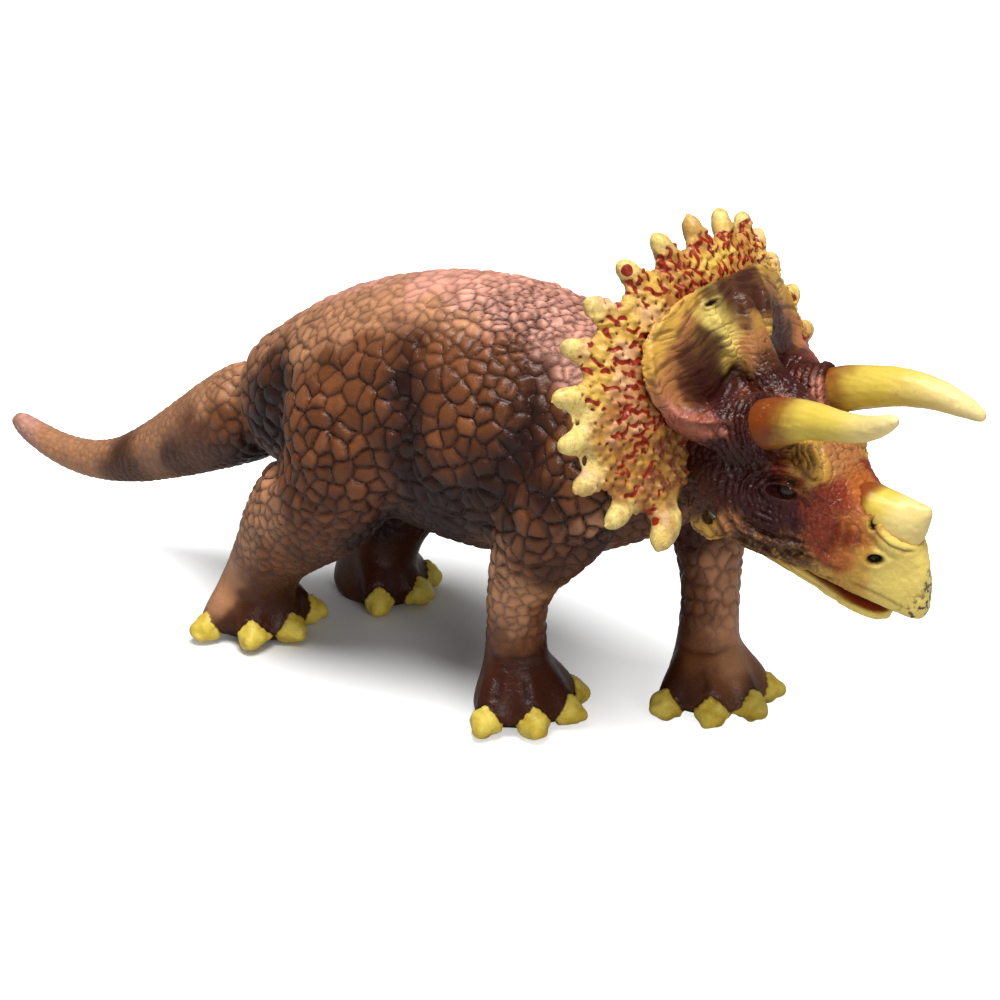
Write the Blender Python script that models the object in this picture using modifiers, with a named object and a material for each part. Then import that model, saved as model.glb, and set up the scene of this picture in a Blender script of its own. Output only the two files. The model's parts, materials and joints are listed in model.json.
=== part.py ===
"""Horned dinosaur figure: a painted PVC toy, moulded in pieces that plug together with pegs.

Metres. +X runs towards the head, +Y to the animal's left and +Z up; the soles stand on z = 0.
Tables hold shares of the named sizes; their rows run along the piece that they shape.
"""

from math import copysign, cos, pi, radians, sin

import bmesh
import bpy
from mathutils import Matrix, Vector

# Fits
GAP = 0.0003                  # between two pieces that seat on each other
PIN_FIT = 0.00008             # between the hinge pin and its holes
OVERRUN = 0.002               # how far a cut runs past the face that it opens

# Trunk
TORSO_LENGTH = 0.110
TORSO_WIDTH = 0.053
TORSO_DEPTH = 0.055
BACK_HEIGHT = 0.082
TORSO_REAR = -0.038           # where the tail joins, from the figure's own zero

# Tail
TAIL_LENGTH = 0.078
TAIL_WIDTH = 0.026

# Legs
HIP_INSET = 0.0080            # from the side of the trunk in to the middle of the upper leg
SHOULDER_INSET = 0.0085
HIP_SETFORE = 0.0385          # from the rear of the trunk forwards to the hips
SHOULDER_SETBACK = 0.0168     # from the front of the trunk back to the shoulders
HIP_HEIGHT = 0.058
SHOULDER_HEIGHT = 0.057
THIGH_LENGTH = 0.031          # fore and aft
THIGH_WIDTH = 0.021
ARM_LENGTH = 0.026
ARM_WIDTH = 0.019
HIND_STEP_RIGHT = -0.0270     # hip to ankle, forwards
HIND_STEP_LEFT = -0.0190
FORE_STEP_RIGHT = -0.0168
FORE_STEP_LEFT = 0.0092
SPLAY = 0.0045                # how far the upper leg stands out beyond the foot's middle
TOE_REACH = 0.0135            # from the foot's middle to the front of the nail
TOE_HEIGHT = 0.0075
TOE_WIDTH = 0.0073
LEG_PEG_RADIUS = 0.004
LEG_PEG_LENGTH = 0.007
TAIL_PEG_RADIUS = 0.005
TAIL_PEG_LENGTH = 0.008

# Skull
NECK_REACH = 0.0050           # of the trunk's front into the skull
SKULL_LENGTH = 0.0515
SKULL_WIDTH = 0.035
SNOUT_DROP = 0.0357           # from the shield's middle down to the tip of the beak
SHIELD_RADIUS = 0.027
SHIELD_WALL = 0.0020
SHIELD_LIFT = 0.0034          # forwards, from the middle of the frill's wall
BROW_SIZE = 0.0060            # half width of the swelling under each brow horn
CREST_WIDTH = 0.0090
COLLAR_WALL = 0.0011          # of the rim round the root of a brow horn
COLLAR_LENGTH = 0.0070

# Frill
FAN_SETFORE = 0.0095          # from the rear of the skull to the middle of frill and shield
FAN_HEIGHT = 0.072            # of the middle that frill and shield fan out from
FRILL_RADIUS = 0.0370
FRILL_BOW = 0.0110            # how far the rim lies behind the middle
FRILL_WALL = 0.0032
SPIKE_LENGTH = 0.0056
SPIKE_RADIUS = 0.0022

# Horns
HORN_LENGTH = 0.0300
HORN_RADIUS = 0.0050
HORN_SPREAD = 0.0240          # between the middles of the two roots
HORN_PEG_RADIUS = 0.0022
HORN_PEG_LENGTH = 0.0050
NOSE_HORN_LENGTH = 0.0125
NOSE_HORN_WIDTH = 0.0082
NOSE_HORN_HEIGHT = 0.0090

# Lower jaw
JAW_SETBACK = 0.0150          # from the rear of the skull to the hinge
HINGE_DROP = 0.0190           # from the fan's middle down to the hinge
JAW_LENGTH = 0.0293
JAW_WIDTH = 0.0240
JAW_DROP = 0.0180             # from the hinge down to the chin
JAW_CLEARANCE = 0.0005
JAW_CLOSING = 2               # degrees up from rest
BARREL_RADIUS = 0.0036
PIN_RADIUS = 0.0011
PIN_LENGTH = 0.0285
BOSS_RADIUS = 0.0045          # of the swelling on the cheek round each end of the pin

# Rings: along, middle height, half width, half height
TORSO_SHARES = (
    (0.00, 0.543, 0.40, 0.445),
    (0.09, 0.577, 0.54, 0.55),
    (0.21, 0.632, 0.74, 0.73),
    (0.34, 0.664, 0.90, 0.89),
    (0.47, 0.676, 1.00, 0.98),
    (0.60, 0.677, 0.99, 1.005),
    (0.72, 0.672, 0.90, 0.93),
    (0.83, 0.672, 0.75, 0.75),
    (0.93, 0.69, 0.57, 0.54),
    (1.00, 0.71, 0.46, 0.42),
)
# Rings: along, height over the tail root's height, radius
TAIL_SHARES = (
    (-0.05, 1.02, 0.86),
    (0.08, 0.90, 0.84),
    (0.19, 0.79, 0.74),
    (0.31, 0.67, 0.62),
    (0.43, 0.56, 0.50),
    (0.55, 0.47, 0.39),
    (0.67, 0.425, 0.33),
    (0.79, 0.425, 0.285),
    (0.91, 0.475, 0.24),
    (1.00, 0.545, 0.17),
)
# Rings: height, reach towards the ankle, splay, half length, half width
HIND_LEG_SHARES = (
    (1.14, -0.02, 0.00, 0.72, 0.62),
    (0.96, -0.02, 0.75, 1.00, 0.94),
    (0.78, 0.03, 1.05, 0.98, 1.00),
    (0.62, 0.24, 1.00, 0.86, 0.90),
    (0.47, 0.65, 0.75, 0.74, 0.76),
    (0.345, 0.84, 0.50, 0.54, 0.66),
    (0.225, 1.00, 0.25, 0.50, 0.62),
    (0.11, 1.09, 0.10, 0.62, 0.72),
    (-0.05, 1.13, 0.00, 0.74, 0.88),
)
FORE_LEG_SHARES = (
    (1.12, -0.05, 0.00, 0.78, 0.60),
    (0.95, 0.04, 0.80, 1.00, 0.92),
    (0.76, 0.34, 1.00, 0.86, 0.92),
    (0.59, 0.77, 0.70, 0.58, 0.72),
    (0.44, 0.95, 0.35, 0.46, 0.61),
    (0.30, 1.00, 0.12, 0.46, 0.60),
    (0.19, 1.01, 0.04, 0.49, 0.63),
    (0.09, 1.02, 0.00, 0.64, 0.80),
    (-0.05, 1.04, 0.00, 0.78, 0.98),
)
HIND_TOE_ANGLES = (104, 50, 6, -44)      # degrees outwards from straight ahead
FORE_TOE_ANGLES = (82, 35, -10, -54, -100)
# Rings of a toe and its nail: reach, height, half width and half height
TOE_SHARES = (
    (0.25, 0.90, 0.90, 0.90),
    (0.52, 0.66, 1.00, 0.92),
    (0.68, 0.52, 0.96, 0.80),
    (0.75, 0.47, 0.84, 0.70),
    (0.81, 0.48, 0.98, 0.84),
    (0.92, 0.40, 0.92, 0.74),
    (1.00, 0.26, 0.54, 0.44),
)
# Vertical slices: along, drop of the top, drop of the bottom, half width
SKULL_SHARES = (
    (0.00, -0.06, 0.56, 0.66),
    (0.14, -0.14, 0.64, 0.86),
    (0.26, -0.11, 0.71, 0.96),
    (0.39, -0.01, 0.77, 0.96),
    (0.49, 0.05, 0.80, 0.86),
    (0.58, 0.12, 0.82, 0.75),
    (0.645, 0.22, 0.845, 0.66),
    (0.71, 0.34, 0.875, 0.57),
    (0.79, 0.40, 0.915, 0.49),
    (0.88, 0.46, 0.96, 0.42),
    (0.96, 0.58, 1.00, 0.31),
    (1.00, 0.74, 0.97, 0.16),
)
SKULL_TAPER_SHARE = 0.14      # how much narrower the top of a slice is than its middle
SKULL_SQUARE_SHARE = 0.82     # power that makes its slices fuller than an oval
# Degrees from the top, radius
SHIELD_OUTLINE_SHARES = (
    (0, 0.74),
    (22, 0.80),
    (42, 0.93),
    (60, 1.03),
    (76, 1.00),
    (92, 0.86),
    (108, 0.62),
)
SHIELD_ROW_SHARES = (0.10, 0.45, 0.78, 1.00)
# Degrees from the top, radius to the root of the spike, set back of the rim
FRILL_OUTLINE_SHARES = (
    (0, 0.690, 0.78),
    (20, 0.715, 0.80),
    (38, 0.770, 0.88),
    (54, 0.825, 1.00),
    (68, 0.890, 1.04),
    (81, 0.965, 0.88),
    (92, 1.000, 0.68),
    (103, 0.985, 0.50),
    (115, 0.930, 0.20),
    (127, 0.800, -0.22),
)
FRILL_ROW_SHARES = (0.14, 0.55, 0.90, 1.00)
SCALLOP_SHARE = 0.965         # radius of the rim midway between two spikes
SPIKE_SINK_SHARE = 0.50       # of a spike's length inside the rim
LAST_SPIKE_SHARE = 1.30       # size of the lowest spike on each side over the others
# Crest from the tip of the shield down to the forehead: along the skull, rise, radius
CREST_SHARES = (
    (0.190, 0.52, 0.35),
    (0.230, 0.36, 0.70),
    (0.260, 0.18, 0.90),
    (0.310, 0.03, 1.10),
    (0.420, -0.06, 1.15),
    (0.540, -0.13, 0.80),
)
# Bar under the hollow, from the shield's corner to the brow: along, outwards, rise, radius
BAR_SHARES = (
    (0.17, 1.24, 0.04, 0.30),
    (0.22, 1.10, 0.00, 0.55),
    (0.29, 0.88, -0.06, 0.72),
    (0.37, 0.62, -0.10, 0.80),
)
# Middle line of the brow horns: along, outwards, up, radius
LEFT_HORN_SHARES = (
    (-0.04, -0.01, -0.02, 0.90),
    (0.12, 0.01, 0.03, 0.88),
    (0.30, 0.03, 0.075, 0.82),
    (0.52, 0.06, 0.11, 0.72),
    (0.72, 0.09, 0.09, 0.58),
    (0.90, 0.12, 0.03, 0.40),
    (1.00, 0.14, -0.02, 0.20),
)
RIGHT_HORN_SHARES = (
    (-0.04, -0.01, -0.02, 1.00),
    (0.12, 0.01, 0.05, 0.96),
    (0.30, 0.03, 0.12, 0.76),
    (0.48, 0.06, 0.145, 0.62),
    (0.66, 0.09, 0.15, 0.55),
    (0.85, 0.12, 0.21, 0.44),
    (1.00, 0.15, 0.31, 0.22),
)
HORN_PLACE_SHARE = 0.43       # of the skull's length, at the root of the brow horns
# Vertical slices of the nose horn: along, top, bottom and half width
NOSE_HORN_SHARES = (
    (0.00, 0.80, 0.36, 0.44),
    (0.20, 0.97, 0.10, 0.82),
    (0.45, 1.02, 0.00, 1.00),
    (0.70, 1.00, 0.06, 0.94),
    (0.88, 0.98, 0.26, 0.68),
    (1.00, 0.92, 0.58, 0.30),
)
NOSE_HORN_PLACE_SHARE = 0.745
NOSE_HORN_DROP_SHARE = 0.63
# Vertical slices of the jaw: along, drop of the top, drop of the bottom, half width
JAW_SHARES = (
    (0.02, -0.10, 0.44, 0.78),
    (0.17, 0.08, 0.53, 0.86),
    (0.375, 0.27, 0.61, 0.80),
    (0.565, 0.45, 0.73, 0.68),
    (0.735, 0.67, 0.90, 0.52),
    (0.89, 0.80, 1.00, 0.37),
    (1.00, 0.88, 1.00, 0.18),
)
POCKET_END_SHARES = (-0.12, 1.06)
POCKET_DEPTH_SHARE = 0.30     # of the jaw's drop, below the jaw
POCKET_SQUARE_SHARE = 0.60
HORN_DROP_SHARE = 0.04
COLLAR_ROOT_SHARE = 1.35      # radius of a collar's root over the horn's
BROW_PLACE_SHARE = 0.37
BROW_DROP_SHARE = 0.13
BROW_SHAPE_SHARES = (1.3, 1.0, 0.9)
PEG_HEIGHT_SHARE = 0.88       # of the hip's or shoulder's height

RING_SIDES = 12
LIMB_SIDES = 10
TOE_SIDES = 8
HORN_SIDES = 8
BALL_RINGS = 6
SKULL_SIDES = 14
ROUND_SIDES = 20
SPIKE_SEGMENTS = 8
SPIKE_RINGS = 5
SHARP_ANGLE = radians(40)

BROWN = (0.30, 0.13, 0.055, 1)
FACE_MAROON = (0.17, 0.035, 0.02, 1)
YELLOW = (0.72, 0.55, 0.12, 1)
HORN_YELLOW = (0.80, 0.66, 0.22, 1)
STEEL = (0.55, 0.55, 0.56, 1)

ACROSS = Vector((0, 1, 0))
UPWARDS = Vector((0, 0, 1))
TAIL_ROOT = Vector((TORSO_REAR, 0, BACK_HEIGHT * TORSO_SHARES[0][1]))
TORSO_FRONT = TORSO_REAR + TORSO_LENGTH
SKULL_REAR = TORSO_FRONT - NECK_REACH
FAN_MIDDLE = SKULL_REAR + FAN_SETFORE


def clear_scene():
    """Empty the scene, so that the figure is all there is."""
    for old in list(bpy.data.objects):
        bpy.data.objects.remove(old)


def new_collection(name):
    group = bpy.data.collections.new(name)
    bpy.context.scene.collection.children.link(group)
    return group


def new_material(name, colour, roughness, metallic):
    material = bpy.data.materials.new(name)
    material.use_nodes = True
    shader = material.node_tree.nodes["Principled BSDF"]
    shader.inputs["Base Color"].default_value = colour
    shader.inputs["Roughness"].default_value = roughness
    shader.inputs["Metallic"].default_value = metallic
    material.diffuse_color = colour
    return material


def place(name, mesh, material):
    """A visible piece of the figure."""
    piece = bpy.data.objects.new(name, mesh)
    mesh.materials.append(material)
    mesh.shade_smooth()
    mesh.set_sharp_from_angle(angle=SHARP_ANGLE)
    FIGURE.objects.link(piece)
    piece.parent = STAND
    return piece


def tool(name, mesh):
    """A hidden shape that cuts or joins other pieces."""
    shape = bpy.data.objects.new(name, mesh)
    mesh.shade_smooth()
    shape.hide_render = True
    shape.display_type = "WIRE"
    CUTTERS.objects.link(shape)
    shape.parent = STAND
    return shape


def mesh_from(name, work):
    mesh = bpy.data.meshes.new(name)
    work.to_mesh(mesh)
    work.free()
    return mesh


def ring_loft(name, rings):
    """Closed cage through rings of points, all with the same number of points."""
    work = bmesh.new()
    rows = []
    for ring in rings:
        rows.append([work.verts.new(point) for point in ring])
    for first, second in zip(rows, rows[1:]):
        for here in range(len(first)):
            beside = (here + 1) % len(first)
            work.faces.new((first[here], second[here], second[beside], first[beside]))
    work.faces.new(rows[0])
    work.faces.new(list(reversed(rows[-1])))
    if work.calc_volume(signed=True) < 0:
        bmesh.ops.reverse_faces(work, faces=work.faces[:])
    return mesh_from(name, work)


def swell(sides):
    """How much a cage ring is widened, so that one subdivision leaves it at its true radius."""
    return 4 / (3 + cos(2 * pi / sides))


def swept(name, stations, sides, across=ACROSS, caged=True):
    """Loft of ovals square to a path. A station is its middle, half width and half height."""
    rings = []
    for index, (middle, half_width, half_height) in enumerate(stations):
        before = stations[max(index - 1, 0)][0]
        after = stations[min(index + 1, len(stations) - 1)][0]
        along = (after - before).normalized()
        up = along.cross(across).normalized()
        wide = up.cross(along)
        ring = []
        for step in range(sides):
            turn = 2 * pi * step / sides
            offset = wide * half_width * sin(turn) + up * half_height * cos(turn)
            ring.append(middle + offset * (swell(sides) if caged else 1))
        rings.append(ring)
    return ring_loft(name, rings)


def fuller(value, square):
    return copysign(abs(value) ** square, value)


def sliced(name, slices, sides, taper=0, square=1):
    """Loft of upright ovals. A slice is its x, top, bottom and half width."""
    rings = []
    for x, top, bottom, half_width in slices:
        ring = []
        for step in range(sides):
            turn = 2 * pi * step / sides
            narrow = 1 - taper * cos(turn)
            y = half_width * fuller(sin(turn), square) * swell(sides) * narrow
            rise = (top - bottom) / 2 * fuller(cos(turn), square)
            z = (top + bottom) / 2 + rise * swell(sides)
            ring.append(Vector((x, y, z)))
        rings.append(ring)
    return ring_loft(name, rings)


def subdivide(piece, level=1):
    smooth = piece.modifiers.new("round", "SUBSURF")
    smooth.levels = level
    smooth.render_levels = level


def grow(piece, distance):
    """Move the whole surface outwards."""
    outward = piece.modifiers.new("clearance", "DISPLACE")
    outward.direction = "NORMAL"
    outward.mid_level = 0
    outward.strength = distance


def thicken(piece, wall):
    shell = piece.modifiers.new("wall", "SOLIDIFY")
    shell.thickness = wall
    shell.offset = 0


def combine(piece, other, operation, solver):
    change = piece.modifiers.new(other.name, "BOOLEAN")
    change.operation = operation
    change.solver = solver
    change.object = other


def cut(piece, *others, solver="EXACT"):
    for other in others:
        combine(piece, other, "DIFFERENCE", solver)


def join(piece, *others, solver="EXACT"):
    for other in others:
        combine(piece, other, "UNION", solver)


def rod_mesh(name, start, end, radius):
    work = bmesh.new()
    turn = (end - start).to_track_quat("Z", "Y").to_matrix().to_4x4()
    bmesh.ops.create_cone(work, cap_ends=True, segments=ROUND_SIDES, radius1=radius,
                          radius2=radius, depth=(end - start).length,
                          matrix=Matrix.Translation((start + end) / 2) @ turn)
    return mesh_from(name, work)


def rod(name, start, end, radius):
    """A plain round peg or hole from one point to another, as a cutting shape."""
    return tool(name, rod_mesh(name, start, end, radius))


def add_ball(work, middle, sizes, turn, segments, rings):
    """One ovoid in a bmesh: sizes are its half lengths along the turned X, Y and Z."""
    scale = Matrix.Diagonal(sizes).to_4x4()
    bmesh.ops.create_uvsphere(work, u_segments=segments, v_segments=rings, radius=1,
                              matrix=Matrix.Translation(middle) @ turn @ scale)


def ball(name, middle, sizes):
    work = bmesh.new()
    add_ball(work, middle, sizes, Matrix.Identity(4), 2 * BALL_RINGS, BALL_RINGS)
    return tool(name, mesh_from(name, work))


def torso_mesh(name):
    stations = []
    for along, height, half_width, half_height in TORSO_SHARES:
        middle = Vector((TORSO_REAR + TORSO_LENGTH * along, 0, BACK_HEIGHT * height))
        stations.append((middle, TORSO_WIDTH / 2 * half_width, TORSO_DEPTH / 2 * half_height))
    return swept(name, stations, RING_SIDES)


def tail_mesh():
    stations = []
    for along, height, radius in TAIL_SHARES:
        middle = TAIL_ROOT - Vector((TAIL_LENGTH * along, 0, TAIL_ROOT.z * (1 - height)))
        stations.append((middle, TAIL_WIDTH / 2 * radius, TAIL_WIDTH / 2 * radius))
    return swept("tail", stations, LIMB_SIDES)


def leg_mesh(name, shares, side, top, step, stance, length, width):
    stations = []
    for height, reach, splay, half_length, half_width in shares:
        y = side * (stance + SPLAY * splay)
        middle = Vector((top.x + step * reach, y, top.z * height))
        stations.append((middle, width / 2 * half_width, length / 2 * half_length))
    return swept(name, stations, LIMB_SIDES)


def toe(name, foot, side, angle):
    """One toe with its nail, reaching out from the middle of a foot."""
    outward = Vector((cos(radians(angle)), side * sin(radians(angle)), 0))
    stations = []
    for reach, height, half_width, half_height in TOE_SHARES:
        middle = foot + outward * TOE_REACH * reach
        middle.z = TOE_HEIGHT * height
        stations.append((middle, TOE_WIDTH / 2 * half_width, TOE_WIDTH / 2 * half_height))
    across = UPWARDS.cross(outward)
    return tool(name, swept(name, stations, TOE_SIDES, across, caged=False))


def leg(name, shares, side, top, step, inset, length, width, angles):
    """A leg with its toes and the peg that plugs into the trunk, which gets a socket.

    The exact solver turns some of these close unions inside out.
    """
    stance = TORSO_WIDTH / 2 - inset - SPLAY
    piece = place(name, leg_mesh(name, shares, side, top, step, stance, length, width), SKIN)
    subdivide(piece)
    foot = Vector((top.x + step * shares[-1][1], side * stance, 0))
    for angle in angles:
        join(piece, toe(f"{name}_toe_{angle}", foot, side, angle), solver="MANIFOLD")
    cut(piece, FLOOR_CUT, TORSO_CLEAR, solver="MANIFOLD")
    inner = Vector((top.x, side * (stance - LEG_PEG_LENGTH), top.z * PEG_HEIGHT_SHARE))
    outer = inner + ACROSS * side * (LEG_PEG_LENGTH + width / 2)
    join(piece, rod(name + "_peg", inner, outer, LEG_PEG_RADIUS), solver="MANIFOLD")
    deeper = inner - ACROSS * side * GAP
    cut(torso, rod(name + "_socket", deeper, outer, LEG_PEG_RADIUS + GAP))


def skull_point(along, y, drop):
    return Vector((SKULL_REAR + SKULL_LENGTH * along, y, FAN_HEIGHT - SNOUT_DROP * drop))


def skull_mesh(name):
    slices = []
    for along, top, bottom, half_width in SKULL_SHARES:
        upper = skull_point(along, 0, top)
        lower = skull_point(along, 0, bottom)
        slices.append((upper.x, upper.z, lower.z, SKULL_WIDTH / 2 * half_width))
    return sliced(name, slices, SKULL_SIDES, SKULL_TAPER_SHARE, SKULL_SQUARE_SHARE)


def fan_point(angle, radius, rim_radius, set_back, lift=0):
    """A point of the bowed surface that frill and shield share."""
    x = FAN_MIDDLE - FRILL_BOW * set_back * (radius / rim_radius) ** 2 + lift
    return Vector((x, radius * sin(angle), FAN_HEIGHT + radius * cos(angle)))


def fan_mesh(name, columns, rows, lift=0):
    """An open sheet. A column is its angle, its own radius, the rim's radius and set back."""
    work = bmesh.new()
    grid = []
    for angle, radius, rim_radius, set_back in columns:
        grid.append([work.verts.new(fan_point(angle, radius * row, rim_radius, set_back, lift))
                     for row in rows])
    for first, second in zip(grid, grid[1:]):
        for here in range(len(rows) - 1):
            work.faces.new((first[here], first[here + 1], second[here + 1], second[here]))
    return mesh_from(name, work)


def both_sides(half):
    """Rows for positive angles, with their mirror images before them."""
    return [(-angle, *rest) for angle, *rest in reversed(half[1:])] + list(half)


def between(table, degrees):
    """The values of a table of angles at any angle within it."""
    for (low, *first), (high, *second) in zip(table, table[1:]):
        if degrees <= high:
            part = (degrees - low) / (high - low)
            return [a + (b - a) * part for a, b in zip(first, second)]
    return table[-1][1:]


def frill_columns():
    half = []
    rows = FRILL_OUTLINE_SHARES
    for (degrees, radius, set_back), following in zip(rows, rows[1:] + (None,)):
        rim = FRILL_RADIUS * radius
        half.append((radians(degrees), rim, rim, set_back))
        if following:
            middle = (degrees + following[0]) / 2
            radius, set_back = between(rows, middle)
            rim = FRILL_RADIUS * radius * SCALLOP_SHARE
            half.append((radians(middle), rim, rim, set_back))
    return both_sides(half)


def shield_columns():
    half = []
    for degrees, radius in SHIELD_OUTLINE_SHARES:
        rim_radius, set_back = between(FRILL_OUTLINE_SHARES, degrees)
        half.append((radians(degrees), SHIELD_RADIUS * radius, FRILL_RADIUS * rim_radius, set_back))
    return both_sides(half)


def spikes():
    """One blunt spike at each station of the frill's outline, pointing away from the middle."""
    work = bmesh.new()
    stations = both_sides(list(FRILL_OUTLINE_SHARES))
    for index, (degrees, radius, set_back) in enumerate(stations):
        rim = FRILL_RADIUS * radius
        root = fan_point(radians(degrees), rim, rim, set_back)
        inner = fan_point(radians(degrees), rim * FRILL_ROW_SHARES[-3], rim, set_back)
        outward = (root - inner).normalized()
        size = LAST_SPIKE_SHARE if index in (0, len(stations) - 1) else 1
        middle = root + outward * SPIKE_LENGTH * size * (1 - SPIKE_SINK_SHARE) / 2
        turn = outward.to_track_quat("X", "Z").to_matrix().to_4x4()
        half = SPIKE_LENGTH * size * (1 + SPIKE_SINK_SHARE) / 2
        add_ball(work, middle, (half, SPIKE_RADIUS * size, SPIKE_RADIUS * size), turn,
                 SPIKE_SEGMENTS, SPIKE_RINGS)
    return tool("spikes", mesh_from("spikes", work))


def horn_stations(shares, side):
    root = skull_point(HORN_PLACE_SHARE, side * HORN_SPREAD / 2, HORN_DROP_SHARE)
    stations = []
    for along, outwards, up, girth in shares:
        middle = root + HORN_LENGTH * Vector((along, side * outwards, up))
        stations.append((middle, HORN_RADIUS * girth, HORN_RADIUS * girth))
    return stations


def brow_horn(name, shares, side):
    """A brow horn with its peg, the collar that it stands in and the socket behind it."""
    stations = horn_stations(shares, side)
    horn = place(name, swept(name, stations, HORN_SIDES), HORN)
    subdivide(horn)
    base, next_middle = stations[0][0], stations[1][0]
    along = (next_middle - base).normalized()
    radius = HORN_RADIUS * shares[0][3]
    collar_stations = [
        (base - along * COLLAR_LENGTH, radius * COLLAR_ROOT_SHARE, radius * COLLAR_ROOT_SHARE),
        (base - along * COLLAR_LENGTH / 2, radius + COLLAR_WALL, radius + COLLAR_WALL),
        (base, radius + COLLAR_WALL, radius + COLLAR_WALL),
        (base + along * COLLAR_WALL, radius + COLLAR_WALL / 2, radius + COLLAR_WALL / 2),
    ]
    collar = tool(name + "_collar", swept(name + "_collar", collar_stations, HORN_SIDES))
    subdivide(collar)
    join(skull, collar)
    clear = tool(name + "_clear", swept(name + "_clear", stations, HORN_SIDES))
    subdivide(clear)
    grow(clear, GAP)
    peg_end = base - along * HORN_PEG_LENGTH
    join(horn, rod(name + "_peg", peg_end, next_middle, HORN_PEG_RADIUS))
    socket = rod(name + "_socket", peg_end - along * GAP, next_middle, HORN_PEG_RADIUS + GAP)
    return clear, socket


def nose_horn_mesh(name):
    base = skull_point(NOSE_HORN_PLACE_SHARE, 0, NOSE_HORN_DROP_SHARE)
    slices = []
    for along, top, bottom, half_width in NOSE_HORN_SHARES:
        slices.append((base.x + NOSE_HORN_LENGTH * along, base.z + NOSE_HORN_HEIGHT * top,
                       base.z + NOSE_HORN_HEIGHT * bottom, NOSE_HORN_WIDTH / 2 * half_width))
    return sliced(name, slices, HORN_SIDES)


def jaw_mesh(name):
    """The jaw round its own hinge, which is the zero of its mesh."""
    slices = []
    for along, top, bottom, half_width in JAW_SHARES:
        slices.append((JAW_LENGTH * along, -JAW_DROP * top, -JAW_DROP * bottom,
                       JAW_WIDTH / 2 * half_width))
    return sliced(name, slices, LIMB_SIDES)


def jaw_pocket_mesh():
    """The room that the jaw needs between the cheeks, open downwards, round the same hinge."""
    rear, front = JAW_SHARES[0], JAW_SHARES[-1]
    rows = [(POCKET_END_SHARES[0], *rear[1:]), *JAW_SHARES, (POCKET_END_SHARES[1], *front[1:])]
    slices = []
    for along, top, bottom, half_width in rows:
        closing = JAW_LENGTH * max(along, 0) * sin(radians(JAW_CLOSING))
        upper = JAW_CLEARANCE + closing - JAW_DROP * top
        lower = -JAW_DROP * (bottom + POCKET_DEPTH_SHARE)
        slices.append((JAW_LENGTH * along, upper, lower,
                       JAW_WIDTH / 2 * half_width + JAW_CLEARANCE))
    return sliced("jaw_pocket", slices, LIMB_SIDES, 0, POCKET_SQUARE_SHARE)


clear_scene()
FIGURE = new_collection("toy_dinosaur_figure")
CUTTERS = new_collection("cutting_shapes")
STAND = bpy.data.objects.new("stand", None)
bpy.context.scene.collection.objects.link(STAND)

SKIN = new_material("skin_paint", BROWN, 0.45, 0)
FACE = new_material("face_paint", FACE_MAROON, 0.40, 0)
FRILL_PAINT = new_material("frill_paint", YELLOW, 0.42, 0)
HORN = new_material("horn_pvc", HORN_YELLOW, 0.35, 0)
METAL = new_material("pin_steel", STEEL, 0.35, 1)

# Shapes that several pieces are cut to
TORSO_CLEAR = tool("torso_clear", torso_mesh("torso_clear"))
subdivide(TORSO_CLEAR)
grow(TORSO_CLEAR, GAP)
SKULL_CLEAR = tool("skull_clear", skull_mesh("skull_clear"))
subdivide(SKULL_CLEAR)
grow(SKULL_CLEAR, GAP)
floor_work = bmesh.new()
bmesh.ops.create_cube(floor_work, size=1, matrix=Matrix.Translation((0, 0, -BACK_HEIGHT / 2))
                      @ Matrix.Diagonal((TORSO_LENGTH * 2, TORSO_LENGTH, BACK_HEIGHT, 1)))
FLOOR_CUT = tool("floor_cut", mesh_from("floor_cut", floor_work))

torso = place("torso", torso_mesh("torso"), SKIN)
subdivide(torso)

hips = Vector((TORSO_REAR + HIP_SETFORE, 0, HIP_HEIGHT))
shoulders = Vector((TORSO_FRONT - SHOULDER_SETBACK, 0, SHOULDER_HEIGHT))
leg("hind_leg_right", HIND_LEG_SHARES, -1, hips, HIND_STEP_RIGHT, HIP_INSET,
    THIGH_LENGTH, THIGH_WIDTH, HIND_TOE_ANGLES)
leg("hind_leg_left", HIND_LEG_SHARES, 1, hips, HIND_STEP_LEFT, HIP_INSET,
    THIGH_LENGTH, THIGH_WIDTH, HIND_TOE_ANGLES)
leg("fore_leg_right", FORE_LEG_SHARES, -1, shoulders, FORE_STEP_RIGHT, SHOULDER_INSET,
    ARM_LENGTH, ARM_WIDTH, FORE_TOE_ANGLES)
leg("fore_leg_left", FORE_LEG_SHARES, 1, shoulders, FORE_STEP_LEFT, SHOULDER_INSET,
    ARM_LENGTH, ARM_WIDTH, FORE_TOE_ANGLES)

# Tail, plugged in along its own first stretch
tail = place("tail", tail_mesh(), SKIN)
subdivide(tail)
cut(tail, TORSO_CLEAR)
tail_slope = Vector((TAIL_LENGTH * (TAIL_SHARES[1][0] - TAIL_SHARES[0][0]), 0,
                     TAIL_ROOT.z * (TAIL_SHARES[0][1] - TAIL_SHARES[1][1]))).normalized()
tail_outer = TAIL_ROOT - tail_slope * TAIL_PEG_LENGTH
tail_inner = TAIL_ROOT + tail_slope * TAIL_PEG_LENGTH
join(tail, rod("tail_peg", tail_outer, tail_inner, TAIL_PEG_RADIUS))
cut(torso, rod("tail_socket", tail_outer, tail_inner + tail_slope * GAP, TAIL_PEG_RADIUS + GAP))

# Frill, a bowed plate with spikes, open in the middle for the skull and the neck
frill = place("frill", fan_mesh("frill", frill_columns(), FRILL_ROW_SHARES), FRILL_PAINT)
thicken(frill, FRILL_WALL)
subdivide(frill)
join(frill, spikes())
cut(frill, SKULL_CLEAR, TORSO_CLEAR)

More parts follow.
